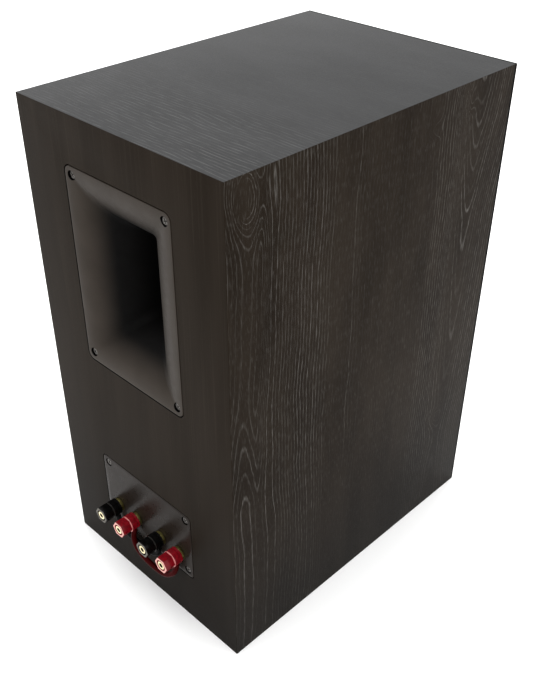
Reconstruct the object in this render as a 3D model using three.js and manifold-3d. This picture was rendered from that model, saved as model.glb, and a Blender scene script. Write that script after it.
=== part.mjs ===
// A two-way bookshelf loudspeaker: a mitred cabinet with a flared port and four binding posts on its rear.
// Millimetres. +Z is up, the front faces -Y, and the origin is the centre of the cabinet's bottom face.
import * as THREE from "three";
import { ConvexGeometry } from "three/addons/geometries/ConvexGeometry.js";
import { ParametricGeometry } from "three/addons/geometries/ParametricGeometry.js";
import { mergeVertices } from "three/addons/utils/BufferGeometryUtils.js";
import Module from "manifold-3d";

const wasm = await Module();
wasm.setup();

// ---- Driving dimensions ----

const WIDTH = 202;
const DEPTH = 286.5;
const HEIGHT = 399;
const WALL = 15;
const FRONT_Y = -DEPTH / 2;
const REAR_Y = DEPTH / 2;
const BAFFLE_RIM = 2; // the full-size front edge of the baffle
const BAFFLE_DEPTH = 20;
const TOUCH_GAP = 0.3; // between pieces that only rest or slide on each other

const ROUND_STEPS = 24; // sides of the drivers' round pieces
const SMALL_STEPS = 12; // sides of posts, bores and other small round pieces
const SCREW_STEPS = 8;
const ARC_STEPS = 2; // each rounded corner has twice as many steps

const PORT = { z: 286.25, halfWidth: 53.25, halfHeight: 76.75, corner: 5.5, flare: 41, wall: 3, flange: 4 };
const PORT_POCKET = { gap: 0.5, depth: 5, ledge: 11 };
const PORT_COLLAR_DEPTH = 60; // from the rear face to the end of the moulding's straight collar
const DUCT_DEPTH = 150; // from the rear face to the end of the duct
const DUCT_FLARE = 15;
const DUCT_SOCKET = 10; // overlap of the duct on the collar

const TERMINAL = { z: 80.75, halfWidth: 52.9, halfHeight: 32.75, corner: 3.75, thickness: 3.25 };
const TERMINAL_POCKET = { gap: 0.4, depth: 4.25 };
const GASKET = 1;

const SCREW = { headRadius: 3, head: 1.8, radius: 1.5, length: 12.5, recess: 3.5, hole: 1.8 };
const PORT_SCREW = { x: 47, z: 70.25, sink: 3 };
const TERMINAL_SCREW = { x: 46.75, z: 26.75, sink: 2.25 };

const POST_Z = 67;
const POST_X = [37.9, 15, -15, -37.9];
const POST_RED = [false, true, false, true];
const POST = {
  base: 1, // height of the plate's boss
  baseRadius: 5.8,
  seat: 0.3, // floor of the boss's socket
  ring: 1.6,
  ringRadius: 6.2,
  cap: 16.9,
  hex: 9, // length of the hexagonal end of the cap
  hexRadius: 7.25,
  collarRadius: 7,
  studRadius: 3.6,
  bore: 2,
  boreDepth: 13,
  tail: 12.25, // how far the stud reaches behind the rear face
  tailRadius: 2.5,
};
const CAP_BORE = POST.studRadius + TOUCH_GAP;
const WIRE_RADIUS = 2.25; // jumper insulation
const WIRE_SLOT = 2.8;

const WOOFER_Z = 116;
const TWEETER_Z = 287;

// ---- Finishes ----

const FINISHES = {
  blackAsh: { color: "#3a3531", roughness: 0.5, metalness: 0 },
  rearVinyl: { color: "#3b3733", roughness: 0.6, metalness: 0 },
  blackPaint: { color: "#121212", roughness: 0.45, metalness: 0 },
  rawBoard: { color: "#8a6f4e", roughness: 0.9, metalness: 0 },
  foam: { color: "#3c3c40", roughness: 1, metalness: 0 },
  satinPlastic: { color: "#35312e", roughness: 0.45, metalness: 0 },
  glossPlastic: { color: "#17171a", roughness: 0.25, metalness: 0 },
  redPlastic: { color: "#b3101c", roughness: 0.2, metalness: 0 },
  gold: { color: "#c9a24a", roughness: 0.25, metalness: 1 },
  blackScrew: { color: "#161616", roughness: 0.4, metalness: 0.8 },
  nickel: { color: "#b9b9b4", roughness: 0.3, metalness: 1 },
  redWire: { color: "#7d0c15", roughness: 0.4, metalness: 0 },
  blackWire: { color: "#101012", roughness: 0.4, metalness: 0 },
  castMetal: { color: "#26282a", roughness: 0.5, metalness: 0.7 },
  steel: { color: "#8c9096", roughness: 0.35, metalness: 1 },
  ferrite: { color: "#2b2b2d", roughness: 0.7, metalness: 0.1 },
  rubber: { color: "#161617", roughness: 0.7, metalness: 0 },
  cone: { color: "#202124", roughness: 0.6, metalness: 0 },
  cloth: { color: "#b4783c", roughness: 0.95, metalness: 0 },
  coil: { color: "#b8652f", roughness: 0.35, metalness: 0.9 },
  dome: { color: "#9aa0a6", roughness: 0.25, metalness: 1 },
  circuit: { color: "#23502f", roughness: 0.5, metalness: 0 },
  sleeve: { color: "#2f4d7a", roughness: 0.35, metalness: 0 },
};

// ---- Joining and cutting closed geometries ----

function toSolid(geometry) {
  const bare = geometry.index ? geometry.toNonIndexed() : geometry.clone();
  bare.deleteAttribute("normal");
  bare.deleteAttribute("uv");
  const merged = mergeVertices(bare, 1e-4);
  return new wasm.Manifold(
    new wasm.Mesh({
      numProp: 3,
      vertProperties: merged.attributes.position.array,
      triVerts: new Uint32Array(merged.index.array),
    }),
  );
}

function toGeometry(solid) {
  const mesh = solid.getMesh();
  const geometry = new THREE.BufferGeometry();
  geometry.setAttribute("position", new THREE.BufferAttribute(mesh.vertProperties, 3));
  geometry.setIndex(new THREE.BufferAttribute(mesh.triVerts, 1));
  geometry.computeVertexNormals();
  return geometry;
}

function join(...geometries) {
  return toGeometry(geometries.map(toSolid).reduce((whole, piece) => whole.add(piece)));
}

function cut(geometry, ...tools) {
  return toGeometry(tools.map(toSolid).reduce((rest, tool) => rest.subtract(tool), toSolid(geometry)));
}

// ---- Shapes ----

function box(low, high) {
  const size = low.map((value, axis) => high[axis] - value);
  const centre = low.map((value, axis) => (high[axis] + value) / 2);
  return new THREE.BoxGeometry(...size).translate(...centre);
}

// A cylinder along Y between two heights.
function rod(radius, low, high, steps = SMALL_STEPS) {
  return new THREE.CylinderGeometry(radius, radius, high - low, steps).translate(0, (low + high) / 2, 0);
}

// A solid of revolution about Y. The profile's [radius, y] points run up the outside and down the inside.
function turned(profile, steps = ROUND_STEPS) {
  return new THREE.LatheGeometry(profile.map(([radius, y]) => new THREE.Vector2(radius, y)), steps);
}

// The same, for a profile that closes on itself as a ring.
function ring(profile, steps = ROUND_STEPS) {
  return turned([...profile, profile[0]], steps);
}

function roundedRectangle(halfWidth, halfHeight, radius) {
  const x = halfWidth - radius;
  const z = halfHeight - radius;
  const quarter = Math.PI / 2;
  return new THREE.Shape()
    .absarc(x, z, radius, 0, quarter)
    .absarc(-x, z, radius, quarter, 2 * quarter)
    .absarc(-x, -z, radius, 2 * quarter, 3 * quarter)
    .absarc(x, -z, radius, 3 * quarter, 4 * quarter);
}

// Extrudes an outline drawn in X and Z from one Y to another.
const OUTLINE_TO_XZ = new THREE.Matrix4().makeBasis(
  new THREE.Vector3(1, 0, 0),
  new THREE.Vector3(0, 0, 1),
  new THREE.Vector3(0, -1, 0),
);

function slab(outline, low, high) {
  const settings = { depth: high - low, bevelEnabled: false, curveSegments: 2 * ARC_STEPS };
  return new THREE.ExtrudeGeometry(outline, settings).applyMatrix4(OUTLINE_TO_XZ).translate(0, high, 0);
}

// Wraps a closed profile of [grow, y] points round a rounded rectangle: a rectangular ring or duct.
function wrapped(halfWidth, halfHeight, profile) {
  const rings = profile.map(([grow]) =>
    roundedRectangle(halfWidth + grow, halfHeight + grow, PORT.corner).getPoints(ARC_STEPS).slice(0, -1),
  );
  const around = rings[0].length;
  const along = profile.length;
  const place = (u, v, target) => {
    const step = Math.round(v * along) % along;
    const point = rings[step][Math.round((1 - u) * around) % around];
    target.set(point.x, profile[step][1], point.y);
  };
  return new ParametricGeometry(place, around, along);
}

// Points on an arc, as [centre + radius cos, centre + radius sin], with both ends.
function arc([centreX, centreY], radius, from, to, steps) {
  return Array.from({ length: steps + 1 }, (_, i) => {
    const angle = THREE.MathUtils.degToRad(from + ((to - from) * i) / steps);
    return [centreX + radius * Math.cos(angle), centreY + radius * Math.sin(angle)];
  });
}

function bend(start, control, end, steps) {
  const vectors = [start, control, end].map((point) => new THREE.Vector2(...point));
  return new THREE.QuadraticBezierCurve(...vectors).getPoints(steps).map((point) => [point.x, point.y]);
}

function shifted(points, [dx, dy]) {
  return points.map(([x, y]) => [x + dx, y + dy]);
}

// A round wire along hand-chosen points.
function wire(points, radius, steps, sides = 8) {
  const route = new THREE.CatmullRomCurve3(points.map((point) => new THREE.Vector3(...point)));
  const section = new THREE.Shape(
    Array.from({ length: sides }, (_, i) => {
      const angle = (2 * Math.PI * i) / sides;
      return new THREE.Vector2(radius * Math.cos(angle), radius * Math.sin(angle));
    }),
  );
  return new THREE.ExtrudeGeometry(section, { steps, extrudePath: route });
}

function addTo(group, name, geometry, finish, position = [0, 0, 0]) {
  const mesh = new THREE.Mesh(geometry, new THREE.MeshStandardMaterial(FINISHES[finish]));
  mesh.name = name;
  mesh.position.set(...position);
  group.add(mesh);
  return mesh;
}

const speaker = new THREE.Group();

// The four corners of a pattern, as [x, z] signs.
const CORNERS = [
  [-1, 1],
  [1, 1],
  [-1, -1],
  [1, -1],
];

// ---- Cabinet panels, mitred where they meet ----

const outer = { x: WIDTH / 2, low: 0, high: HEIGHT };
const inner = { x: WIDTH / 2 - WALL, low: WALL, high: HEIGHT - WALL };
const SLEEVE_FRONT = FRONT_Y + BAFFLE_RIM;
const INNER_REAR = REAR_Y - WALL;

function mitred(faces) {
  return new ConvexGeometry(faces.flat().map((point) => new THREE.Vector3(...point)));
}

function levelPanel(outside, inside) {
  const face = (x, z, rear) =>
    [-x, x].flatMap((side) => [
      [side, SLEEVE_FRONT, z],
      [side, rear, z],
    ]);
  return mitred([face(outer.x, outside, REAR_Y), face(inner.x, inside, INNER_REAR)]);
}

function sidePanel(sign) {
  const face = (x, { low, high }, rear) =>
    [low, high].flatMap((z) => [
      [sign * x, SLEEVE_FRONT, z],
      [sign * x, rear, z],
    ]);
  return mitred([face(outer.x, outer, REAR_Y), face(inner.x, inner, INNER_REAR)]);
}

function backPanel() {
  const face = ({ x, low, high }, y) => [-x, x].flatMap((side) => [low, high].map((z) => [side, y, z]));
  return mitred([face(outer, REAR_Y), face(inner, INNER_REAR)]);
}

function screwHoles(pattern, z, low, high, radius = SCREW.hole) {
  return CORNERS.map(([sx, sz]) =>
    rod(radius, low, high, SCREW_STEPS).translate(sx * pattern.x, 0, z + sz * pattern.z),
  );
}

// The plate's opening is wide behind the posts and narrower above and below, where the screws bite.
function terminalOpening(grow = 0) {
  const wide = 48.9 - grow;
  const narrow = 41 - grow;
  const shoulder = 22.5 - grow;
  const tall = 29.25 - grow;
  const quarter = [
    [wide, shoulder],
    [narrow, shoulder],
    [narrow, tall],
  ];
  const mirror = (sx, sz, points) => points.map(([x, z]) => new THREE.Vector2(sx * x, sz * z));
  return new THREE.Shape([
    ...mirror(1, 1, quarter),
    ...mirror(-1, 1, quarter).reverse(),
    ...mirror(-1, -1, quarter),
    ...mirror(1, -1, quarter).reverse(),
  ]);
}

function rearPanel() {
  const beyond = REAR_Y + 1;
  const behind = INNER_REAR - 1;
  const portFloor = REAR_Y - PORT_POCKET.depth;
  const terminalFloor = REAR_Y - TERMINAL_POCKET.depth;
  const rectangle = (size, grow, corner) =>
    roundedRectangle(size.halfWidth + grow, size.halfHeight + grow, corner);
  const portPocket = rectangle(PORT, PORT_POCKET.gap, PORT.corner + PORT_POCKET.gap);
  const portHole = rectangle(PORT, -PORT_POCKET.ledge, PORT.corner);
  const terminalPocket = rectangle(TERMINAL, TERMINAL_POCKET.gap, TERMINAL.corner + TERMINAL_POCKET.gap);
  return cut(
    backPanel(),
    slab(portPocket, portFloor, beyond).translate(0, 0, PORT.z),
    slab(portHole, behind, beyond).translate(0, 0, PORT.z),
    slab(terminalPocket, terminalFloor, beyond).translate(0, 0, TERMINAL.z),
    slab(terminalOpening(), behind, beyond).translate(0, 0, TERMINAL.z),
    ...screwHoles(PORT_SCREW, PORT.z, behind, beyond),
    ...screwHoles(TERMINAL_SCREW, TERMINAL.z, behind, beyond),
  );
}

const WOOFER_SEAT = { rebate: 83.75, hole: 74, depth: 6 };
const TWEETER_SEAT = { rebate: 65.25, hole: 55.5, depth: 5 };

function frontBaffle() {
  const back = FRONT_Y + BAFFLE_DEPTH;
  const rim = box([-outer.x, FRONT_Y, outer.low], [outer.x, SLEEVE_FRONT, outer.high]);
  const plug = box([-inner.x, SLEEVE_FRONT, inner.low], [inner.x, back, inner.high]);
  const seat = ({ rebate, hole, depth }, z) => [
    rod(rebate, FRONT_Y - 1, FRONT_Y + depth, ROUND_STEPS).translate(0, 0, z),
    rod(hole, FRONT_Y - 1, back + 1, ROUND_STEPS).translate(0, 0, z),
  ];
  return cut(join(rim, plug), ...seat(WOOFER_SEAT, WOOFER_Z), ...seat(TWEETER_SEAT, TWEETER_Z));
}

const BRACE = { front: 30, back: 48, low: 205, high: 240 };
const FOAM = { front: -90, back: 100, low: 250, high: 380, thickness: 12 };

const cabinet = new THREE.Group();
speaker.add(cabinet);
addTo(cabinet, "top_panel", levelPanel(outer.high, inner.high), "blackAsh");
addTo(cabinet, "bottom_panel", levelPanel(outer.low, inner.low), "blackAsh");
addTo(cabinet, "left_side_panel", sidePanel(-1), "blackAsh");
addTo(cabinet, "right_side_panel", sidePanel(1), "blackAsh");
addTo(cabinet, "rear_panel", rearPanel(), "rearVinyl");
addTo(cabinet, "front_baffle", frontBaffle(), "blackPaint");
addTo(
  cabinet,
  "cross_brace",
  box([-inner.x, BRACE.front, BRACE.low], [inner.x, BRACE.back, BRACE.high]),
  "rawBoard",
);
addTo(
  cabinet,
  "damping_foam",
  box([-inner.x, FOAM.front, FOAM.low], [FOAM.thickness - inner.x, FOAM.back, FOAM.high]),
  "foam",
);

// ---- Screws with a cross recess, their heads sunk below the surface ----

function screw() {
  const { headRadius, head, radius, length } = SCREW;
  const body = turned(
    [
      [0, -length],
      [radius, 1.5 - length],
      [radius, -head],
      [headRadius, -head],
      [headRadius, -0.5],
      [2.4, 0],
      [0, 0],
    ],
    SCREW_STEPS,
  );
  const blade = (x, z) => box([-x, -1, -z], [x, 1, z]);
  return cut(body, blade(1.7, 0.4), blade(0.4, 1.7));
}

function addScrews(group, prefix, pattern, z) {
  CORNERS.forEach(([sx, sz], i) => {
    const headTop = REAR_Y - pattern.sink + SCREW.head;
    const place = [sx * pattern.x, headTop, z + sz * pattern.z];
    addTo(group, `${prefix}_screw_${i + 1}`, screw(), "blackScrew", place);
  });
}

// ---- Port: a flared moulding in the rear panel, and the duct pushed on behind it ----

function portHorn() {
  const { flare, wall, flange } = PORT;
  const back = flare - wall;
  const leave = THREE.MathUtils.radToDeg(Math.acos((flare - flange) / back));
  const front = arc([0, -flare], flare, 90, 180, 6);
  const rear = arc([0, -flare], back, 180, 90 + leave, 4);
  const profile = [
    ...front,
    [-flare, -PORT_COLLAR_DEPTH],
    [-back, -PORT_COLLAR_DEPTH],
    ...rear,
    [0, -flange],
  ];
  const moulding = wrapped(PORT.halfWidth, PORT.halfHeight, profile);
  const floor = -PORT_SCREW.sink;
  return cut(
    moulding,
    ...screwHoles(PORT_SCREW, 0, floor, 1, SCREW.recess),
    ...screwHoles(PORT_SCREW, 0, -PORT.flange - 1, 1),
  );
}

function portDuct() {
  const mouth = -DUCT_DEPTH + DUCT_FLARE;
  const socket = PORT.wall + TOUCH_GAP;
  const skin = socket + PORT.wall;
  const seam = -PORT_COLLAR_DEPTH - TOUCH_GAP;
  const inside = arc([DUCT_FLARE, mouth], DUCT_FLARE, 180, 270, 4);
  const outside = arc([DUCT_FLARE, mouth], DUCT_FLARE - PORT.wall, 270, 180, 3);
  const profile = [
    [skin, seam + DUCT_SOCKET],
    [socket, seam + DUCT_SOCKET],
    [socket, seam],
    ...inside,
    [DUCT_FLARE + PORT.wall, -DUCT_DEPTH],
    ...outside,
    [PORT.wall, seam - PORT.wall],
    [skin, seam - PORT.wall],
  ];
  const throat = PORT.flare;
  return wrapped(PORT.halfWidth - throat, PORT.halfHeight - throat, profile);
}

function portGasket() {
  const outside = roundedRectangle(PORT.halfWidth - TOUCH_GAP, PORT.halfHeight - TOUCH_GAP, PORT.corner);
  const flat = 8.5; // width of the flange's flat back
  const inside = roundedRectangle(PORT.halfWidth - flat, PORT.halfHeight - flat, PORT.corner);
  const front = -PORT.flange;
  return cut(
    slab(outside, front - GASKET, front),
    slab(inside, front - GASKET - 1, front + 1),
    ...screwHoles(PORT_SCREW, 0, front - GASKET - 1, front + 1),
  );
}

const port = new THREE.Group();
port.position.set(0, REAR_Y, PORT.z);
speaker.add(port);
addTo(port, "port_horn", portHorn(), "satinPlastic");
addTo(port, "port_duct", portDuct(), "satinPlastic");
addTo(port, "port_gasket", portGasket(), "foam");
addScrews(speaker, "port", PORT_SCREW, PORT.z);

// ---- Terminal plate, four binding posts and the jumpers between them ----

const POST_RISE = POST_Z - TERMINAL.z; // from the plate's centre

function terminalPlate() {
  const { halfWidth, halfHeight, corner, thickness } = TERMINAL;
  const plate = slab(roundedRectangle(halfWidth, halfHeight, corner), -thickness, 0);
  const at = (geometry, x) => geometry.translate(x, 0, POST_RISE);
  const bosses = POST_X.map((x) => at(rod(POST.baseRadius, -1, POST.base), x));
  const sockets = POST_X.map((x) => at(rod(CAP_BORE, POST.seat, POST.base + 1), x));
  const holes = POST_X.map((x) => at(rod(POST.tailRadius + TOUCH_GAP, -thickness - 1, POST.base + 1), x));
  const half = WIRE_SLOT / 2;
  const slots = POST_X.map((x) =>
    at(box([-half, POST.seat, -POST.baseRadius - 1], [half, POST.base + 1, 0]), x),
  );
  return cut(
    join(plate, ...bosses),
    ...sockets,
    ...holes,
    ...slots,
    ...screwHoles(TERMINAL_SCREW, 0, -TERMINAL_SCREW.sink, 1, SCREW.recess),
    ...screwHoles(TERMINAL_SCREW, 0, -thickness - 1, 1),
  );
}

function terminalGasket() {
  const { halfWidth, halfHeight, corner, thickness } = TERMINAL;
  const outline = roundedRectangle(halfWidth - TOUCH_GAP, halfHeight - TOUCH_GAP, corner);
  return cut(
    slab(outline, -thickness - GASKET, -thickness),
    slab(terminalOpening(), -thickness - GASKET - 1, -thickness + 1),
    ...screwHoles(TERMINAL_SCREW, 0, -thickness - GASKET - 1, -thickness + 1),
  );
}

const RING_LOW = POST.base;
const CAP_LOW = POST.base + POST.ring;
const CAP_END = CAP_LOW + POST.cap;

function postStud() {
  const { seat, studRadius, bore, boreDepth, tail, tailRadius } = POST;
  const end = CAP_END - 0.2;
  return turned(
    [
      [0, -tail],
      [tailRadius, -tail],
      [tailRadius, seat],
      [studRadius, seat],
      [studRadius, end],
      [bore, end],
      [bore, end - boreDepth],
      [0, end - boreDepth],
    ],
    SMALL_STEPS,
  );
}

// The clamp ring's rim is a row of blunt teeth.
function postRing() {
  const teeth = 12;
  const rim = Array.from({ length: 2 * teeth }, (_, i) => {
    const radius = POST.ringRadius - (i % 2) * 0.35;
    const angle = (Math.PI * i) / teeth;
    return new THREE.Vector2(radius * Math.cos(angle), radius * Math.sin(angle));
  });
  return cut(slab(new THREE.Shape(rim), RING_LOW, CAP_LOW), rod(CAP_BORE, RING_LOW - 1, CAP_LOW + 1));
}

// Six flats at the open end, a round collar behind them, and a groove round the stud's end.
function postCap() {
  const shoulder = CAP_END - POST.hex;
  const chamfer = 0.7;
  const hexagon = new THREE.CylinderGeometry(POST.hexRadius, POST.hexRadius, POST.hex - chamfer, 6);
  const nose = new THREE.CylinderGeometry(POST.hexRadius - chamfer, POST.hexRadius, chamfer, 6);
  const turn = Math.PI / 6; // corners to the left and right
  return cut(
    join(
      rod(POST.collarRadius, CAP_LOW, shoulder, 16),
      hexagon.rotateY(turn).translate(0, (shoulder + CAP_END - chamfer) / 2, 0),
      nose.rotateY(turn).translate(0, CAP_END - chamfer / 2, 0),
    ),
    rod(CAP_BORE, CAP_LOW - 1, CAP_END + 1),
    rod(4.8, CAP_END - 1.2, CAP_END + 1),
  );
}

function postNut() {
  const behind = -TERMINAL.thickness;
  const nut = new THREE.CylinderGeometry(4.6, 4.6, 3.5, 6).translate(0, behind - 1.75, 0);
  return cut(nut, rod(POST.tailRadius + TOUCH_GAP, behind - 5, behind + 1));
}

const terminals = new THREE.Group();
terminals.position.set(0, REAR_Y, TERMINAL.z);
speaker.add(terminals);
addTo(terminals, "terminal_plate", terminalPlate(), "glossPlastic");
addTo(terminals, "terminal_gasket", terminalGasket(), "foam");
addScrews(speaker, "terminal", TERMINAL_SCREW, TERMINAL.z);
POST_X.forEach((x, i) => {
  const place = [x, 0, POST_RISE];
  addTo(terminals, `post_stud_${i + 1}`, postStud(), "gold", place);
  addTo(terminals, `post_nut_${i + 1}`, postNut(), "nickel", place);
  addTo(terminals, `post_ring_${i + 1}`, postRing(), "gold", place);
  addTo(terminals, `post_cap_${i + 1}`, postCap(), POST_RED[i] ? "redPlastic" : "glossPlastic", place);
});

// Routes of the two wire loops, as [x, height off the rear face, z].
const RED_ROUTE = [
  [15, 3.4, 57],
  [14.6, 5.8, 51.5],
  [9.5, 7.8, 44.5],
  [-1, 8, 39],
  [-14, 8, 37.5],
  [-27, 7.4, 39],
  [-35.5, 5.6, 46.5],
  [-37.9, 3.4, 57],
];
const BLACK_ROUTE = [
  [37.9, 3.4, 57],
  [36.5, 3, 50],
  [28.5, 2.7, 44],
  [12, 2.7, 42],
  [-4.5, 2.7, 44],
  [-13, 3, 50],
  [-15, 3.4, 57],
];
const JUMPER_STEPS = 14;
const jumpers = new THREE.Group();
jumpers.position.set(0, REAR_Y, 0);
speaker.add(jumpers);
addTo(jumpers, "jumper_red", wire(RED_ROUTE, WIRE_RADIUS, JUMPER_STEPS), "redWire");
addTo(jumpers, "jumper_black", wire(BLACK_ROUTE, WIRE_RADIUS, JUMPER_STEPS), "blackWire");

// ---- Woofer, in a frame at the front face with Y pointing into the cabinet ----

const WINDOWS = 6;

function wooferBasket() {
  const shell = ring([
    [71.5, 2],
    [83.25, 2],
    [83.25, 6],
    [73.5, 6],
    [73.5, 14],
    [59.5, 36],
    [59.5, 42],
    [54, 42],
    [54, 52],
    [22, 52],
    [22, 48],
    [51, 48],
    [51, 38],
    [56.5, 38],
    [56.5, 36],
    [71.5, 13],
  ]);
  const windows = Array.from({ length: WINDOWS }, (_, i) =>
    box([-17, 16, 50], [17, 34, 80]).rotateY((2 * Math.PI * i) / WINDOWS),
  );
  return cut(shell, ...windows);
}

function trimRing() {
  return ring([
    [71, 0],
    [83.25, 0],
    [83.25, 2],
    [77, 2],
    [77, 1],
    [71, 1],
  ]);
}

// A half roll between the cone's edge and the basket's flange.
function surround() {
  const centre = [65, 6.5];
  return ring([
    [59.3, 6.5],
    ...arc(centre, 5.5, 180, 360, 4),
    [70.5, 1],
    [76.5, 1],
    [76.5, 2],
    [71.2, 2],
    [71.2, 7.5],
    [69.5, 7.5],
    ...arc(centre, 4.5, 360, 180, 4),
    [60.5, 7.5],
    [59.3, 7.5],
  ]);
}

function cone() {
  const face = bend([19.6, 33], [33, 16], [59, 6.5], 4);
  return ring([...face, ...shifted(face, [0, 1.2]).reverse()]);
}

function dustCap() {
  const front = arc([0, 55.2], 37.2, 270, 309.8, 4);
  return turned([...front, ...arc([0, 55.2], 36.2, 311.1, 270, 3)]);
}

// A corrugated disc: flat rims and folds that stand alternately forward and back.
function spider() {
  const folds = 6;
  const thickness = 0.75;
  const crest = Array.from({ length: folds + 1 }, (_, i) => [22 + (26 * i) / folds, 37.25 + 1.3 * (-1) ** i]);
  const face = [[19.6, 37.25], ...crest, [50.7, 37.25], [56, 37.25]];
  return ring([...face, ...shifted(face, [0, thickness]).reverse()]);
}

const woofer = new THREE.Group();
woofer.position.set(0, FRONT_Y, WOOFER_Z);
speaker.add(woofer);
addTo(woofer, "woofer_basket", wooferBasket(), "castMetal");
addTo(woofer, "woofer_trim_ring", trimRing(), "satinPlastic");
addTo(woofer, "woofer_surround", surround(), "rubber");
addTo(woofer, "woofer_cone", cone(), "cone");
addTo(woofer, "woofer_dust_cap", dustCap(), "cone");
addTo(woofer, "woofer_spider", spider(), "cloth");

function tube(inside, outside, low, high) {
  return ring([
    [inside, low],
    [outside, low],
    [outside, high],
    [inside, high],
  ]);
}

addTo(woofer, "woofer_voice_coil", tube(18.4, 19.3, 30, 64), "coil");
addTo(woofer, "woofer_top_plate", tube(20.3, 46, 52, 58), "steel");
addTo(woofer, "woofer_magnet", tube(25, 50, 58, 74), "ferrite");
addTo(
  woofer,
  "woofer_yoke",
  ring([
    [5, 51.5],
    [17.5, 51.5],
    [17.5, 74],
    [46, 74],
    [46, 80],
    [5, 80],
  ]),
  "steel",
);

// ---- Tweeter, in a frame at the front face with Y pointing into the cabinet ----

function waveguide() {
  return ring([
    ...bend([14.6, 19], [22, 4], [56, 0], 6),
    [64.75, 0],
    [64.75, 5],
    [55, 5],
    [26, 21],
    [14.6, 21],
  ]);
}

function dome() {
  const front = arc([0, 31.3], 17.9, 270, 314.5, 4);
  const back = arc([0, 31.3], 17.3, 314, 270, 4);
  const rim = [
    [12.9, 18.2],
    [14.2, 18.2],
    [14.2, 18.8],
    [12.3, 18.8],
  ];
  return turned([...front, ...rim, ...back], SMALL_STEPS);
}

const tweeter = new THREE.Group();
tweeter.position.set(0, FRONT_Y, TWEETER_Z);
speaker.add(tweeter);
addTo(tweeter, "tweeter_waveguide", waveguide(), "satinPlastic");
addTo(tweeter, "tweeter_dome", dome(), "dome");
addTo(tweeter, "tweeter_voice_coil", tube(12, 12.7, 19.1, 27), "coil");
addTo(tweeter, "tweeter_top_plate", tube(13.6, 30, 21, 24), "steel");
addTo(tweeter, "tweeter_magnet", tube(16, 31, 24, 32), "ferrite");
addTo(
  tweeter,
  "tweeter_yoke",
  turned([
    [0, 19.5],
    [11.2, 19.5],
    [11.2, 32],
    [30, 32],
    [30, 36],
    [0, 36],
  ]),
  "steel",
);

// ---- Crossover, carried on the tails of the studs, and the leads to the drivers ----

const BOARD = { halfWidth: 46, low: -20.75, high: 19.25, front: -10.25, thickness: 1.5 };
const BOARD_BACK = BOARD.front - BOARD.thickness;

function crossoverBoard() {
  const { halfWidth, low, high, front } = BOARD;
  const hole = POST.tailRadius + TOUCH_GAP;
  return cut(
    box([-halfWidth, BOARD_BACK, low], [halfWidth, front, high]),
    ...POST_X.map((x) => rod(hole, BOARD_BACK - 1, front + 1).translate(x, 0, POST_RISE)),
  );
}

const COIL = { inside: 7, outside: 15, length: 14 };
const CAPACITOR = { radius: 7.5, length: 34 };

const crossover = new THREE.Group();
crossover.position.set(0, REAR_Y, TERMINAL.z);
speaker.add(crossover);
addTo(crossover, "crossover_board", crossoverBoard(), "circuit");
addTo(
  crossover,
  "crossover_coil",
  tube(COIL.inside, COIL.outside, -COIL.length, 0),
  "coil",
  [-26, BOARD_BACK - TOUCH_GAP, 3.5],
);
addTo(
  crossover,
  "crossover_capacitor",
  rod(CAPACITOR.radius, -CAPACITOR.length / 2, CAPACITOR.length / 2).rotateZ(Math.PI / 2),
  "sleeve",
  [20, BOARD_BACK - CAPACITOR.radius - TOUCH_GAP, 5],
);

const LEAD_RADIUS = 1.5;
const LEAD_STEPS = 24;
const WOOFER_LEAD = [
  [41, 129, 96],
  [46, 118, 94],
  [64, 95, 78],
  [76, 55, 40],
  [77, 0, 26],
  [76, -45, 40],
  [72, -78, 80],
  [62.5, -98, 112],
];
const TWEETER_LEAD = [
  [0, 129, 97],
  [-8, 116, 101],
  [-40, 100, 125],
  [-70, 70, 165],
  [-76, 25, 188],
  [-74, -30, 215],
  [-52, -80, 255],
  [-36, -106, 285],
];
addTo(speaker, "woofer_lead", wire(WOOFER_LEAD, LEAD_RADIUS, LEAD_STEPS), "redWire");
addTo(speaker, "tweeter_lead", wire(TWEETER_LEAD, LEAD_RADIUS, LEAD_STEPS), "blackWire");

export default speaker;
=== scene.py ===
import math

import bmesh
import bpy
import numpy as np
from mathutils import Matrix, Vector, noise


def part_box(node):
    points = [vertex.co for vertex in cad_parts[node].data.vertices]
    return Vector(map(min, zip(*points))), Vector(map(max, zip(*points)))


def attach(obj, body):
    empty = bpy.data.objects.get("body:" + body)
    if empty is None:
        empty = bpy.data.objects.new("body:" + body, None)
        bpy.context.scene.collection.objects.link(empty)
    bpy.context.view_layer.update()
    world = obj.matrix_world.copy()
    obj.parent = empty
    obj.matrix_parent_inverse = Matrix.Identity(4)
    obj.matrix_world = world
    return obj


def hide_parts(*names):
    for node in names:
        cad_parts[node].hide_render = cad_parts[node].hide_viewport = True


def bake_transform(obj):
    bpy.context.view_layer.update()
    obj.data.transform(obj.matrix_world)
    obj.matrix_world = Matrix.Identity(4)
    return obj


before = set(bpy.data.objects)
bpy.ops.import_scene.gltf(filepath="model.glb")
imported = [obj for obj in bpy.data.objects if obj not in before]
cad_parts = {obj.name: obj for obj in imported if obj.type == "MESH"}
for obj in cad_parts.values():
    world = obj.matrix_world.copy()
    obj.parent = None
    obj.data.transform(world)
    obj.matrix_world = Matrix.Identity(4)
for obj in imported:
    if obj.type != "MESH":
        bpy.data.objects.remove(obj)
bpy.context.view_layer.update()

MM = 0.001


# ---- Places taken from the frame ----

def corners(node):
    """Lowest and highest corner of a CAD node, in millimetres."""
    low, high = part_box(node)
    return np.array(low) / MM, np.array(high) / MM


def middle(node):
    low, high = corners(node)
    return (low + high) / 2


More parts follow.
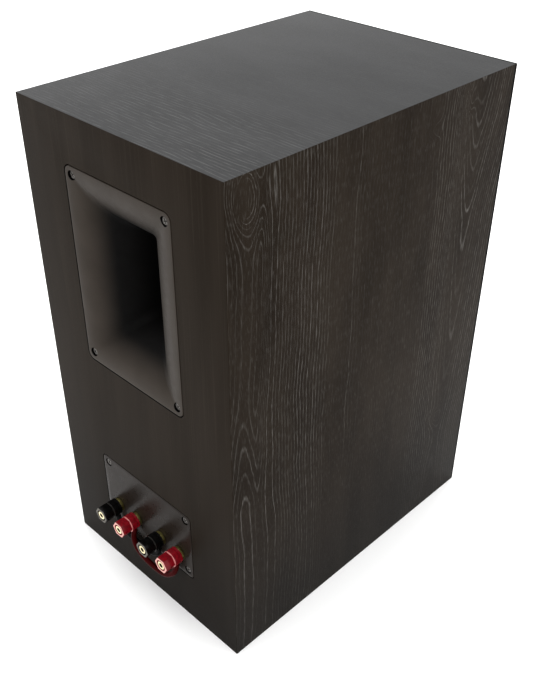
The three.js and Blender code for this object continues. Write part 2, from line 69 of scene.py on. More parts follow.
SLEEVE_LOW, SLEEVE_HIGH = corners("left_side_panel")
OUTER_X = corners("right_side_panel")[1][0]
TOP_Z = SLEEVE_HIGH[2]
REAR_Y = SLEEVE_HIGH[1]
SLEEVE_FRONT = SLEEVE_LOW[1]
WALL = SLEEVE_HIGH[0] - SLEEVE_LOW[0]
FRONT_Y = corners("front_baffle")[0][1]
BAFFLE_BACK = corners("front_baffle")[1][1]

PORT_LOW, PORT_HIGH = corners("port_horn")
PORT_Z = (PORT_LOW[2] + PORT_HIGH[2]) / 2
PORT_HALF = np.array([PORT_HIGH[0], PORT_HIGH[2] - PORT_Z])
DUCT_END = corners("port_duct")[0][1]
COLLAR_END = PORT_LOW[1]

PLATE_LOW, PLATE_HIGH = corners("terminal_gasket")
PLATE_Z = (PLATE_LOW[2] + PLATE_HIGH[2]) / 2

POSTS = [1, 2, 3, 4]
POST_PLACES = {n: middle(f"post_cap_{n}") for n in POSTS}
POST_Z = POST_PLACES[1][2]

WOOFER = np.array([0, FRONT_Y, middle("woofer_trim_ring")[2]])
TWEETER = np.array([0, FRONT_Y, middle("tweeter_waveguide")[2]])


# ---- Outlines in X and Z, as arrays of points ----

def circle(radius, steps=64):
    angles = np.arange(steps) * 2 * math.pi / steps
    return radius * np.column_stack([np.cos(angles), np.sin(angles)])


def hexagon(radius, steps=96, stock=0.985):
    """Six flats milled on a round bar, with corners to the left and right."""
    angles = np.arange(steps) * 2 * math.pi / steps
    flat = radius * math.cos(math.pi / 6) / np.cos(np.mod(angles, math.pi / 3) - math.pi / 6)
    return circle(1, steps) * np.minimum(flat, radius * stock)[:, None]


def toothed(radius, teeth, depth, steps_per_tooth=6):
    """A round rim with rounded teeth."""
    steps = teeth * steps_per_tooth
    angles = np.arange(steps) * 2 * math.pi / steps
    reach = radius - depth * (0.5 - 0.5 * np.cos(teeth * angles))
    return circle(1, steps) * reach[:, None]


def rounded_rectangle(half_width, half_height, corner, steps=8):
    quarter = np.linspace(0, math.pi / 2, steps + 1)
    points = []
    for turn, (sx, sz) in enumerate([(1, 1), (-1, 1), (-1, -1), (1, -1)]):
        angles = quarter + turn * math.pi / 2
        centre = np.array([sx * (half_width - corner), sz * (half_height - corner)])
        points.append(centre + corner * np.column_stack([np.cos(angles), np.sin(angles)]))
    return np.concatenate(points)


def shrinking(half_width, half_height, corner, steps=8, least=0.02):
    """Gives a rounded rectangle for each inset, with corners no tighter than the least."""
    def outline(inset):
        radius = max(corner - inset, least)
        return rounded_rectangle(half_width - inset, half_height - inset, radius, steps)

    return outline


# ---- Profiles: points of [reach, along], rounded where they turn ----

def arc(centre, radius, start, end, steps):
    angles = np.radians(np.linspace(start, end, steps + 1))
    return [[centre[0] + radius * math.cos(a), centre[1] + radius * math.sin(a)] for a in angles]


def bend(start, control, end, steps):
    """A quadratic curve from start to end."""
    start, control, end = (np.array(point, float) for point in (start, control, end))
    ts = np.linspace(0, 1, steps + 1)
    return [list((1 - t) ** 2 * start + 2 * t * (1 - t) * control + t ** 2 * end) for t in ts]


def softened(points, radius, closed=True, steps=3, straight=-0.93):
    """Rounds each corner that turns; one that is nearly straight is kept."""
    points = np.array(points, float)
    result = []
    for i, point in enumerate(points):
        before = points[i - 1] - point
        after = points[(i + 1) % len(points)] - point
        lengths = np.linalg.norm(before), np.linalg.norm(after)
        at_end = not closed and i in (0, len(points) - 1)
        if at_end or before @ after / (lengths[0] * lengths[1]) < straight:
            result.append(list(point))
            continue
        reach = min(radius, 0.45 * min(lengths))
        start = point + before / lengths[0] * reach
        end = point + after / lengths[1] * reach
        result += bend(start, point, end, steps)
    return result


def thickened(face, thickness):
    """The way back along the other side of a face."""
    return [[reach, along + thickness] for reach, along in face[::-1]]


# ---- Shapes: (vertices, faces) ----

def skin(outline, profile, closed=True):
    """Carries outline(reach) along Y through a profile. An open skin is capped at both ends."""
    rings = [np.insert(outline(reach), 1, along, axis=1) for reach, along in profile]
    count = len(rings[0])
    faces = []
    for i in range(len(rings) if closed else len(rings) - 1):
        a = i * count
        b = (i + 1) % len(rings) * count
        for j in range(count):
            k = (j + 1) % count
            faces.append((a + j, a + k, b + k, b + j))
    if not closed:
        last = (len(rings) - 1) * count
        faces.append(tuple(range(count)))
        faces.append(tuple(range(last, last + count)))
    return np.concatenate(rings), faces


def slab(outline, low, high, edge=0.0):
    """A solid between two places along Y, with both its edges cut back."""
    ends = [[edge, low], [0, low + edge], [0, high - edge], [edge, high]]
    return skin(outline, ends if edge else [[0, low], [0, high]], closed=False)


def lofted(rings):
    """A closed skin through outlines of the same number of points, given as (outline, y)."""
    return skin(lambda i: rings[i][0], [[i, y] for i, (_, y) in enumerate(rings)])


def turned(profile, steps=128, closed=True):
    """A solid of revolution about Y, through [radius, y] points."""
    return skin(lambda radius: circle(radius, steps), profile, closed)


def rod(radius, low, high, steps=48):
    return turned([[radius, low], [radius, high]], steps, closed=False)


def block(low, high):
    """A box between two corners."""
    low, high = np.array(low, float), np.array(high, float)
    centre = (low + high) / 2
    square = np.array([(1, 1), (-1, 1), (-1, -1), (1, -1)]) * (high - low)[[0, 2]] / 2
    return moved(slab(lambda _: square, low[1], high[1]), (centre[0], 0, centre[2]))


def moved(shape, by):
    return shape[0] + np.array(by, float), shape[1]


def spun(shape, degrees):
    """Turns a shape about Y."""
    angle = math.radians(degrees)
    c, s = math.cos(angle), math.sin(angle)
    x, y, z = shape[0].T
    return np.column_stack([c * x + s * z, y, c * z - s * x]), shape[1]


def reordered(shape, order):
    """Swaps a shape's axes."""
    return shape[0][:, order], shape[1]


def merged(shapes):
    vertices = []
    faces = []
    count = 0
    for points, polygons in shapes:
        vertices.append(points)
        faces += [tuple(i + count for i in polygon) for polygon in polygons]
        count += len(points)
    return np.concatenate(vertices), faces


def to_mesh(name, shape, scale=1.0):
    """A closed mesh with its doubled vertices merged and its faces turned outwards."""
    mesh = bpy.data.meshes.new(name)
    mesh.from_pydata((shape[0] * scale).tolist(), [], shape[1])
    work = bmesh.new()
    work.from_mesh(mesh)
    bmesh.ops.remove_doubles(work, verts=work.verts, dist=1e-3 * scale)
    bmesh.ops.recalc_face_normals(work, faces=work.faces)
    work.to_mesh(mesh)
    work.free()
    return mesh


def from_mesh(mesh):
    vertices = np.zeros(len(mesh.vertices) * 3)
    mesh.vertices.foreach_get("co", vertices)
    return vertices.reshape(-1, 3), [tuple(polygon.vertices) for polygon in mesh.polygons]


def combined(shape, operation, tools):
    """Joins a shape with others, or cuts them out of it."""
    helpers = []
    for solid in [shape, *tools]:
        helper = bpy.data.objects.new("helper", to_mesh("helper", solid))
        bpy.context.scene.collection.objects.link(helper)
        helpers.append(helper)
    base = helpers[0]
    for tool in helpers[1:]:
        modifier = base.modifiers.new("combine", "BOOLEAN")
        modifier.operation = operation
        modifier.solver = "EXACT"
        modifier.object = tool
    result = from_mesh(base.evaluated_get(bpy.context.evaluated_depsgraph_get()).data)
    for helper in helpers:
        bpy.data.objects.remove(helper)
    if not result[1]:
        raise ValueError("nothing is left of a shape after it was cut or joined")
    return result


def joined(shape, tools):
    return combined(shape, "UNION", tools)


def cut(shape, tools):
    return combined(shape, "DIFFERENCE", tools)


def sliced(shape, planes):
    """What is left of a convex shape behind each plane, given as (point, outward normal)."""
    work = bmesh.new()
    work.from_mesh(to_mesh("sliced", shape))
    for point, normal in planes:
        everything = [*work.verts, *work.edges, *work.faces]
        bmesh.ops.bisect_plane(work, geom=everything, plane_co=point, plane_no=normal, clear_outer=True)
        bmesh.ops.holes_fill(work, edges=[edge for edge in work.edges if edge.is_boundary], sides=0)
    mesh = bpy.data.meshes.new("sliced")
    work.to_mesh(mesh)
    work.free()
    return from_mesh(mesh)


def spline(points, steps):
    """A smooth centripetal curve through the points."""
    points = [np.array(point, float) for point in points]
    points = [2 * points[0] - points[1], *points, 2 * points[-1] - points[-2]]
    path = []
    for a, b, c, d in zip(points, points[1:], points[2:], points[3:]):
        knots = np.cumsum([0, *(math.sqrt(np.linalg.norm(q - p)) for p, q in ((a, b), (b, c), (c, d)))])
        for t in np.linspace(knots[1], knots[2], steps, endpoint=False):
            ab, bc, cd = (
                p + (q - p) * (t - knots[i]) / (knots[i + 1] - knots[i])
                for i, (p, q) in enumerate(((a, b), (b, c), (c, d)))
            )
            abc = ab + (bc - ab) * (t - knots[0]) / (knots[2] - knots[0])
            bcd = bc + (cd - bc) * (t - knots[1]) / (knots[3] - knots[1])
            path.append(abc + (bcd - abc) * (t - knots[1]) / (knots[2] - knots[1]))
    return np.array([*path, points[-2]])


def frames_along(path):
    """Two directions across a path at each of its points, that turn with it and don't twist."""
    tangents = np.gradient(path, axis=0)
    tangents /= np.linalg.norm(tangents, axis=1)[:, None]
    side = np.cross(tangents[0], (0.31, 0.72, 0.62))
    sides = []
    for tangent in tangents:
        side = side - tangent * (side @ tangent)
        side /= np.linalg.norm(side)
        sides.append(side)
    sides = np.array(sides)
    return sides, np.cross(tangents, sides)


def tube(path, radii, sides=20):
    """A round tube with closed ends. radii is one radius, or one for each point."""
    across, up = frames_along(path)
    radii = np.broadcast_to(radii, len(path))
    angles = np.arange(sides) * 2 * math.pi / sides
    rings = [
        centre + radius * (np.outer(np.cos(angles), a) + np.outer(np.sin(angles), b))
        for centre, radius, a, b in zip(path, radii, across, up)
    ]
    faces = []
    for i in range(len(path) - 1):
        for j in range(sides):
            k = (j + 1) % sides
            faces.append((i * sides + j, i * sides + k, (i + 1) * sides + k, (i + 1) * sides + j))
    last = (len(path) - 1) * sides
    faces.append(tuple(range(sides)))
    faces.append(tuple(range(last, last + sides)))
    return np.concatenate(rings), faces


def twisted(path, count, lay, reach, radius, sides):
    """Round wires laid round a path, at a reach from it, with one turn in each lay."""
    across, up = frames_along(path)
    lengths = np.cumsum([0, *np.linalg.norm(np.diff(path, axis=0), axis=1)])
    wires = []
    for wire in range(count):
        angles = 2 * math.pi * (lengths / lay + wire / count)
        offset = np.cos(angles)[:, None] * across + np.sin(angles)[:, None] * up
        wires.append(tube(path + offset * reach, radius, sides))
    return wires


# ---- Materials ----

FINISHES = {}  # each material by its slot's name
BLACK = [(0.0012, 0.0012, 0.0012), (0.0028, 0.0027, 0.0026)]
HEX_LENGTH = 9.0  # of a binding post's cap


class Value:
    """A number or a colour that a material's node gives. Sums on it make more nodes."""

    def __init__(self, finish, socket):
        self.finish = finish
        self.socket = socket

    def math(self, operation, *others):
        return self.finish.node("Math", [self, *others], operation=operation)

    def __add__(self, other):
        return self.math("ADD", other)

    def __sub__(self, other):
        return self.math("SUBTRACT", other)

    def __rsub__(self, other):
        return self * -1.0 + other

    def __mul__(self, other):
        return self.math("MULTIPLY", other)

    def step(self, start, end, low=0.0, high=1.0):
        """Goes smoothly from low to high as the value goes from start to end."""
        return self.finish.node("MapRange", [self, start, end, low, high], interpolation_type="SMOOTHSTEP")

    def hill(self, centre, width):
        """1 at the centre, falling to 0 smoothly on both sides."""
        offset = (self - centre) * (1 / width)
        return (offset * offset * -1.0).math("EXPONENT")


class Finish:
    """One material's nodes. Places are in millimetres, in the piece's own axes at rest."""

    def __init__(self, name, **sockets):
        self.material = bpy.data.materials.new(name)
        self.material.use_nodes = True
        self.tree = self.material.node_tree
        self.shader = self.tree.nodes["Principled BSDF"]
        for socket, value in sockets.items():
            self.shader.inputs[socket.replace("_", " ")].default_value = value
        self.place = self.scaled(self.node("TexCoord", [], "Object"), 1 / MM)
        self.x, self.y, self.z = (self.node("SeparateXYZ", [self.place], axis) for axis in range(3))
        FINISHES[name] = self.material

    def node(self, kind, inputs, output=0, **settings):
        """Adds a node. Its inputs are given in order, or as a dictionary by name or number."""
        node = self.tree.nodes.new("ShaderNode" + kind)
        for name, value in settings.items():
            setattr(node, name, value)
        for key, value in inputs.items() if isinstance(inputs, dict) else enumerate(inputs):
            self.put(node.inputs[key], value)
        return Value(self, node.outputs[output])

    def put(self, socket, value):
        if isinstance(value, Value):
            self.tree.links.new(value.socket, socket)
        elif socket.type == "RGBA":
            socket.default_value = (*value, 1)
        else:
            socket.default_value = value

    def scaled(self, vector, scale):
        """scale is one number, or one for each axis."""
        scales = scale if isinstance(scale, tuple) else (scale, scale, scale)
        return self.node("VectorMath", [vector, scales], operation="MULTIPLY")

    def vector(self, x, y=0.0, z=0.0):
        return self.node("CombineXYZ", [x, y, z])

    def noise(self, scale, detail=2.0, roughness=0.55, sheet=None):
        """Noise of about the size 1 / scale, in millimetres, over the place or over a sheet's own axes."""
        inputs = {"Vector": self.scaled(sheet or self.place, scale), "Scale": 1.0}
        return self.node("TexNoise", {**inputs, "Detail": detail, "Roughness": roughness})

    def cells(self, scale, output=0, **settings):
        return self.node("TexVoronoi", [self.scaled(self.place, scale)], output, **settings)

    def mix(self, factor, first, second):
        return self.node("Mix", {0: factor, 6: first, 7: second}, 2, data_type="RGBA")

    def colour(self, value):
        self.put(self.shader.inputs["Base Color"], value)

    def roughness(self, value):
        self.put(self.shader.inputs["Roughness"], value)

    def bump(self, height, depth, strength=1.0):
        """Raises the surface by depth millimetres where height is 1. Bumps add up."""
        inputs = {"Strength": strength, "Distance": depth * MM, "Height": height}
        normal = self.shader.inputs["Normal"]
        if normal.links:
            inputs["Normal"] = Value(self, normal.links[0].from_socket)
        self.put(normal, self.node("Bump", inputs))

    def edges(self):
        """1 along outside edges, broken by noise."""
        pointed = self.node("NewGeometry", [], "Pointiness")
        return pointed.step(0.52, 0.58) * self.noise(1.3).step(0.4, 0.6)


def plain(slot, dark, light, roughness, grain, depth, wear=None, **sockets):
    """A moulded, painted or cast surface: two tones in soft patches, fine grain, and worn outside edges."""
    finish = Finish(slot, **sockets)
    speckle = finish.noise(grain, 1.0)
    tone = finish.noise(0.05, 3.0) * 0.7 + speckle * 0.3
    colour = finish.mix(tone.step(0.35, 0.65), dark, light)
    if wear:
        colour = finish.mix(finish.edges(), colour, wear)
    finish.colour(colour)
    finish.roughness(finish.noise(0.2, 4.0).step(0.3, 0.7, *roughness))
    finish.bump(speckle, depth)


def brushed(slot, dark, light, roughness, stretch, depth=0.004):
    """Plated or turned metal: fine lines along the stretch's small axis."""
    finish = Finish(slot, Metallic=1.0)
    lines = finish.noise(stretch, 3.0)
    tone = lines * 0.6 + finish.noise(0.12, 3.0) * 0.4
    finish.colour(finish.mix(tone.step(0.3, 0.7), dark, light))
    finish.roughness(tone.step(0.3, 0.7, *roughness))
    finish.bump(lines, depth)


# Wood grain. Lines lie where a field over the panel is a whole number, three millimetres apart where it is
# calm. The field folds over along two lines, which makes arches there, and dips or rises at the knots.
LINES_PER_MM = 0.33
REAR_FOLD = 131
FRONT_FOLD = -103
FOLD_BLUNTNESS = 7
MEETING = 14  # where the two folds' fields meet
ARCH_TOP = 240
ARCH_FOOT = 150
STEEP_Z = 290  # the front fold's arches are wider above this height
TURN_Z = 75  # the front fold's arches point down above this height and up below it
KNOTS = [  # across, height, half width, half height, lines
    (128, 384, 14, 21, -6.5),
    (-85, 387, 9, 9, 3.5),
    (-49, 375, 9, 7, 3.2),
    (-96, 100, 10, 9, 2.2),
]
REAR_ARCHES = (104, 121)  # across the panel: where each fold's arches begin, and where they are full
FRONT_ARCHES = (-74, -92)
REAR_BAND = (34, 72)  # across the panel: where the lines begin to show, and where they are full
FRONT_BAND = (-40, -74)
LONE_LINE = 26  # one line stands alone in the calm middle
KNOT_HEART = (129, 384)  # the upper rear knot's bare middle
CALM_ARCHES = 292  # height at which the rear arches fade
SHADED_HEIGHT = 190  # painted shade darkens the foil below it, towards the cabinet's foot
PAINTED_FOOT_SHADE = 0.55
EDGE_SHADE_LINE = [SLEEVE_FRONT + 1.2, SLEEVE_FRONT + 0.7]  # painted shade: the foil is painted black from here to the front, a shadow line along the front edge


def grain_field(across, height):
    def fold(centre):
        offset = across - centre
        return (offset * offset + FOLD_BLUNTNESS ** 2).math("SQRT")

    is_rear = across.step(MEETING - 1, MEETING + 1)
    depth = REAR_FOLD - FRONT_FOLD - fold(FRONT_FOLD)
    lines = fold(REAR_FOLD) * is_rear + depth * (1.0 - is_rear)
    rise = height.math("MINIMUM", ARCH_TOP).math("MAXIMUM", ARCH_FOOT) * 0.045 * across.step(*REAR_ARCHES)
    gentle = (height.math("MINIMUM", STEEP_Z) - TURN_Z).math("ABSOLUTE") * 0.024
    steep = (height - STEEP_Z).math("MAXIMUM", 0.0) * 0.06
    field = lines * LINES_PER_MM + rise + (gentle + steep) * across.step(*FRONT_ARCHES)
    for place, top, half_width, half_height, size in KNOTS:
        field = field + across.hill(place, half_width) * height.hill(top, half_height) * size
    return field


def grained(finish, sheet):
    """Gives noise over a sheet whose second axis lies along the grain."""
    return lambda width, length, detail: finish.noise((width, length, 1), detail, sheet=sheet)


def ridges(field):
    """1 on each line of the grain, 0 halfway between two."""
    return (field * 2.0).math("PINGPONG", 1.0)


def print_foil(finish, tones, gloss, veins, pores, clouds, depth):
    """Lays veins and pores over clouded ground, then paints shade: darker towards the foot, and a black shade
    line along the front edge.
    """
    dark, light, vein = tones
    marked = finish.mix(pores * 0.22, finish.mix(clouds, dark, light), vein)
    printed = finish.mix(veins, marked, vein)
    # Painted shade: the foil gets darker towards the cabinet's foot.
    shaded = finish.mix(finish.z.step(SHADED_HEIGHT, 0) * PAINTED_FOOT_SHADE, printed, BLACK[0])
    # Painted shade: a black shadow line along the foil's front edge.
    finish.colour(finish.mix(finish.y.step(*EDGE_SHADE_LINE), shaded, BLACK[0]))
    fine = finish.noise(2.4)
    marks = veins.math("MAXIMUM", pores * 0.4)
    finish.roughness(fine.step(0.3, 0.7, *gloss) + marks * 0.08)
    finish.bump(fine, 0.012, 0.6)
    finish.bump(marks, depth)


def side_vinyl():
    """Cathedral grain: knots and arches towards the rear edge and the front edge, with a calm middle."""
    finish = Finish("side_vinyl", Specular_IOR_Level=0.032)
    mirrored = (finish.x * -1.0).math("SIGN")
    across = finish.y * mirrored
    height = finish.z
    sheet = finish.vector(across, height, mirrored * 40.0)
    grain = grained(finish, sheet)
    slow = (grain(0.011, 0.007, 1.0) - 0.5) * 15.0
    quick = (grain(0.07, 0.03, 2.0) - 0.5) * 3.2
    drifted = across + slow + quick
    field = grain_field(drifted, height + (grain(0.08, 0.03, 2.0) - 0.5) * 10.0)
    line = finish.vector(field.math("FLOOR"))
    strength = finish.node("TexWhiteNoise", [line]).step(0.1, 1.0, 0.25, 1.0)
    fibres = grain(1.9, 0.10, 3.0).step(0.40, 0.62, 0.10, 1.0)
    rear = across.step(*REAR_BAND)
    front = across.step(*FRONT_BAND, 0.0, 0.9)
    lone = drifted.hill(LONE_LINE, 3.5) * height.step(110, 160)
    calm = height.hill(CALM_ARCHES, 52) * across.step(106, 117) * -0.65 + 1.0
    reach = rear.math("MAXIMUM", front).math("MAXIMUM", lone).math("MAXIMUM", 0.16) * calm
    clear = (across.hill(KNOT_HEART[0], 9) * height.hill(KNOT_HEART[1], 19)).step(0.72, 0.42)
    veins = ridges(field).step(0.66, 1.0) * strength * fibres * reach * clear
    pores = grain(1.9, 0.13, 2.0).step(0.54, 0.72)
    clouds = grain(0.03, 0.008, 3.0).step(0.3, 0.7)
    tones = [(0.0082, 0.0053, 0.0030), (0.0152, 0.0109, 0.0072), (0.100, 0.094, 0.086)]
    print_foil(finish, tones, (0.42, 0.54), veins, pores, clouds, 0.03)


def top_vinyl():
    """The same foil with its grain along X, faint under the light that falls on it."""
    finish = Finish("top_vinyl", Specular_IOR_Level=0.18)
    sheet = finish.vector(finish.y, finish.x)
    grain = grained(finish, sheet)
    field = (finish.y + (grain(0.02, 0.012, 2.0) - 0.5) * 12.0) * LINES_PER_MM
    fibres = grain(1.2, 0.05, 2.0).step(0.42, 0.62)
    veins = ridges(field).step(0.5, 0.95) * fibres * finish.y.step(20, 100, 0.12, 0.75)
    pores = grain(1.8, 0.10, 2.0).step(0.52, 0.72)
    clouds = grain(0.03, 0.01, 3.0).step(0.3, 0.7)
    tones = [(0.0100, 0.0102, 0.0106), (0.0150, 0.0152, 0.0158), (0.060, 0.060, 0.060)]
    print_foil(finish, tones, (0.50, 0.60), veins, pores, clouds, 0.02)


def rear_vinyl():
    """Plain foil with faint upright hairlines."""
    finish = Finish("rear_vinyl", Specular_IOR_Level=0.032)
    sheet = finish.vector(finish.x, finish.z)
    grain = grained(finish, sheet)
    veins = grain(0.9, 0.006, 3.0).step(0.52, 0.72, 0.0, 0.5)
    pores = grain(2.2, 0.16, 2.0).step(0.55, 0.72)
    clouds = grain(0.05, 0.004, 3.0).step(0.3, 0.7)
    tones = [(0.0092, 0.0062, 0.0036), (0.0130, 0.0092, 0.0060), (0.024, 0.019, 0.014)]
    print_foil(finish, tones, (0.50, 0.62), veins, pores, clouds, 0.012)


def raw_board():
    """Bare fibreboard: pressed chips and dust."""
    finish = Finish("raw_board", Specular_IOR_Level=0.2)
    chips = finish.node("SeparateXYZ", [finish.cells(0.9, "Color")])
    dust = finish.noise(4.0, 3.0)
    tone = chips * 0.5 + dust * 0.5
    finish.colour(finish.mix(tone.step(0.25, 0.75), (0.20, 0.125, 0.068), (0.42, 0.29, 0.175)))
    finish.roughness(dust.step(0.3, 0.7, 0.82, 0.95))
    finish.bump(dust, 0.05)


def foam():
    """Open-cell foam, with painted shade in its cells' holes."""
    finish = Finish("foam", Specular_IOR_Level=0.15, Roughness=0.95)
    hole = finish.cells(1.6).step(0.15, 0.7)
    ground = finish.mix(finish.noise(0.08, 3.0), (0.030, 0.030, 0.034), (0.055, 0.055, 0.062))
    # Painted shade: the holes are near black.
    finish.colour(finish.mix(hole, (0.008, 0.008, 0.009), ground))
    finish.bump(hole, 0.25)


def cap_plastic(slot, dark, light, end_reflection, glint, specular):
    """Polished plastic with a frosted end face that carries a painted reflection, and a painted highlight, a
    paler line, where the hexagon meets the collar.
    """
    finish = Finish(slot, Specular_IOR_Level=specular)
    end = float(corners("post_cap_1")[1][1])
    face = finish.y.step(end - 0.5, end - 0.1)
    shoulder = finish.y.hill(end - HEX_LENGTH - 0.1, 0.55)
    body = finish.mix(finish.noise(0.35).step(0.3, 0.7), dark, light)
    # Painted highlight along the shoulder.
    marked = finish.mix(shoulder.step(0.3, 0.9) * 0.7, body, glint)
    # Painted reflection on the end face.
    finish.colour(finish.mix(face * 0.9, marked, end_reflection))
    finish.roughness(finish.noise(1.1, 3.0).step(0.3, 0.7, 0.10, 0.20) + face * 0.3)
    finish.bump(finish.noise(0.7), 0.008)


def horn_plastic():
    """Satin plastic with painted shade that darkens it towards the throat, where dust keeps it matt."""
    finish = Finish("horn_plastic", Specular_IOR_Level=0.06)
    grain = finish.noise(5.0, 1.0)
    tone = (finish.noise(0.05, 3.0) * 0.7 + grain * 0.3).step(0.35, 0.65)
    lip = finish.mix(tone, (0.0225, 0.0172, 0.0128), (0.0280, 0.0218, 0.0168))
    # Painted shade: the deep tones darken the horn towards the throat.
    deep = finish.mix(tone, (0.0006, 0.0005, 0.0004), (0.0012, 0.0010, 0.0009))
    sunk = finish.y.step(REAR_Y + 1.0, REAR_Y - 14.0)
    finish.colour(finish.mix(sunk, lip, deep))
    finish.roughness(finish.noise(0.2, 4.0).step(0.3, 0.7, 0.36, 0.44) + sunk * 0.30)
    finish.bump(grain, 0.012)


def wire(slot, dark, light):
    """Extruded insulation with faint lengthways ripples and dust."""
    finish = Finish(slot, Specular_IOR_Level=0.02)
    ripples = finish.noise((0.5, 1.2, 1.2))
    finish.colour(finish.mix(finish.noise(1.7, 3.0).step(0.3, 0.75), dark, light))
    finish.roughness(ripples.step(0.3, 0.7, 0.28, 0.45))
    finish.bump(ripples, 0.05)


def woven():
    """Resin-stiffened cotton: two sets of threads at right angles."""
    finish = Finish("cloth", Specular_IOR_Level=0.3)
    threads = 2.2 * math.pi
    warp, weft = ((axis * threads).math("SINE") for axis in (finish.x, finish.z))
    weave = (warp * weft).step(-1.0, 1.0)
    fuzz = finish.noise(1.4, 3.0)
    finish.colour(finish.mix(weave * 0.6 + fuzz * 0.4, (0.20, 0.075, 0.020), (0.56, 0.27, 0.095)))
    finish.roughness(fuzz.step(0.3, 0.7, 0.6, 0.8))
    finish.bump(weave, 0.12)


def coned():
    """Pressed, coated paper: fibres, with rings from the felting mould."""
    finish = Finish("cone", Specular_IOR_Level=0.4)
    up = finish.z - float(WOOFER[2])
    radius = (finish.x * finish.x + up * up).math("SQRT")
    rings = (radius * 2.1).math("SINE").step(-1.0, 1.0)
    fibres = finish.noise(0.9, 5.0, 0.75)
    finish.colour(finish.mix(fibres.step(0.35, 0.7), (0.010, 0.010, 0.011), (0.030, 0.030, 0.033)))
    finish.roughness(fibres.step(0.3, 0.7, 0.48, 0.66))
    finish.bump(fibres, 0.06)
    finish.bump(rings, 0.05)


def copper():
    """Enamelled wire, laid turn by turn."""
    finish = Finish("copper_coil", Metallic=1.0, Coat_Weight=0.4, Coat_Roughness=0.15)
    pitch = 0.5
    turns = (finish.y * (2 * math.pi / pitch)).math("SINE").step(-1.0, 1.0)
    drift = finish.noise(0.3, 3.0)
    finish.colour(finish.mix(drift, (0.42, 0.11, 0.035), (0.66, 0.26, 0.10)))
    finish.roughness(drift.step(0.3, 0.7, 0.22, 0.38))
    finish.bump(turns, 0.08)


def circuit():
    """Green solder mask over copper tracks, with a fine weave of glass showing through."""
    finish = Finish("circuit", Specular_IOR_Level=0.5)
    track = finish.cells((0.09, 1, 0.09), feature="DISTANCE_TO_EDGE").step(0.16, 0.10)
    warp, weft = ((axis * 4.0).math("SINE") for axis in (finish.x, finish.z))
    base = finish.mix((warp * weft).step(-1.0, 1.0), (0.010, 0.052, 0.018), (0.014, 0.070, 0.025))
    finish.colour(finish.mix(track, base, (0.030, 0.150, 0.050)))
    finish.roughness(finish.noise(0.5, 3.0).step(0.3, 0.7, 0.30, 0.48))
    finish.bump(track, 0.04)


def make_finishes():
    for make in (
        side_vinyl, top_vinyl, rear_vinyl, raw_board, foam, woven, coned, copper, circuit, horn_plastic,
    ):
        make()
    # Each cap's tones: dark, light, the painted reflection on its end face and the painted highlight at its
    # shoulder.
    red = [(0.105, 0.0018, 0.0045), (0.165, 0.0026, 0.0068), (0.66, 0.34, 0.30), (0.62, 0.22, 0.21)]
    black = [(0.0010, 0.0009, 0.0009), (0.0022, 0.0020, 0.0019), (0.120, 0.112, 0.098), (0.018, 0.017, 0.015)]
    cap_plastic("red_plastic", *red, 0.20)
    cap_plastic("black_cap", *black, 0.07)
    wire("red_wire", (0.020, 0.0005, 0.0007), (0.044, 0.0010, 0.0014))
    wire("black_wire", (0.0030, 0.0030, 0.0032), (0.0070, 0.0070, 0.0072))

    plain("baffle_paint", *BLACK, (0.42, 0.52), 2.5, 0.01, Specular_IOR_Level=0.04)
    # The seam finish is painted shade: matt black without reflection, for the counterbores and the rear
    # pockets' walls and eased mouths.
    plain("seam", *BLACK, (0.8, 0.9), 2.5, 0.01, Specular_IOR_Level=0.0)
    satin = [(0.0085, 0.0070, 0.0058), (0.0125, 0.0106, 0.0090)]
    plain("satin_plastic", *satin, (0.36, 0.44), 5.0, 0.012, Specular_IOR_Level=0.12)
    gloss = [(0.0094, 0.0066, 0.0050), (0.0128, 0.0094, 0.0074)]
    plain("gloss_plastic", *gloss, (0.26, 0.34), 5.0, 0.006, Specular_IOR_Level=0.05)
    blacked = [(0.044, 0.040, 0.036), (0.074, 0.068, 0.062)]
    plain("black_screw", *blacked, (0.38, 0.50), 4.0, 0.01, (0.20, 0.185, 0.17), Metallic=0.7)
    cast = [(0.014, 0.015, 0.016), (0.024, 0.025, 0.027)]
    plain("cast_metal", *cast, (0.45, 0.6), 1.6, 0.06, (0.06, 0.06, 0.065), Metallic=0.4)
    plain("ferrite", (0.016, 0.016, 0.018), (0.032, 0.032, 0.035), (0.6, 0.8), 1.2, 0.08, (0.07, 0.07, 0.075))
    plain("rubber", (0.0065, 0.0065, 0.007), (0.0110, 0.0110, 0.0118), (0.5, 0.66), 3.0, 0.015)
    plain("sleeve", (0.020, 0.055, 0.150), (0.035, 0.085, 0.210), (0.22, 0.34), 1.5, 0.02, (0.12, 0.2, 0.36))

    brushed("gold_plate", (0.78, 0.66, 0.36), (0.94, 0.85, 0.58), (0.18, 0.32), (1.2, 3.5, 1.2))
    brushed("dull_gold", (0.085, 0.070, 0.018), (0.26, 0.225, 0.08), (0.30, 0.45), (1.5, 0.8, 1.5), 0.02)
    # The socket finish is painted shade: a dark gold for the inside of each post's plug socket.
    brushed("socket", (0.010, 0.008, 0.004), (0.024, 0.018, 0.008), (0.5, 0.7), (1.2, 3.5, 1.2))
    brushed("nickel", (0.42, 0.42, 0.39), (0.62, 0.62, 0.59), (0.20, 0.34), (2.5, 0.6, 2.5))
    brushed("steel", (0.34, 0.36, 0.38), (0.52, 0.54, 0.55), (0.28, 0.42), (0.8, 4.0, 0.8))
    brushed("dome_metal", (0.30, 0.32, 0.34), (0.42, 0.44, 0.46), (0.24, 0.34), (2.0, 2.0, 2.0), 0.002)
    brushed("bare_copper", (0.55, 0.26, 0.12), (0.78, 0.44, 0.24), (0.25, 0.4), (1.5, 6.0, 1.5))


# ---- Pieces ----

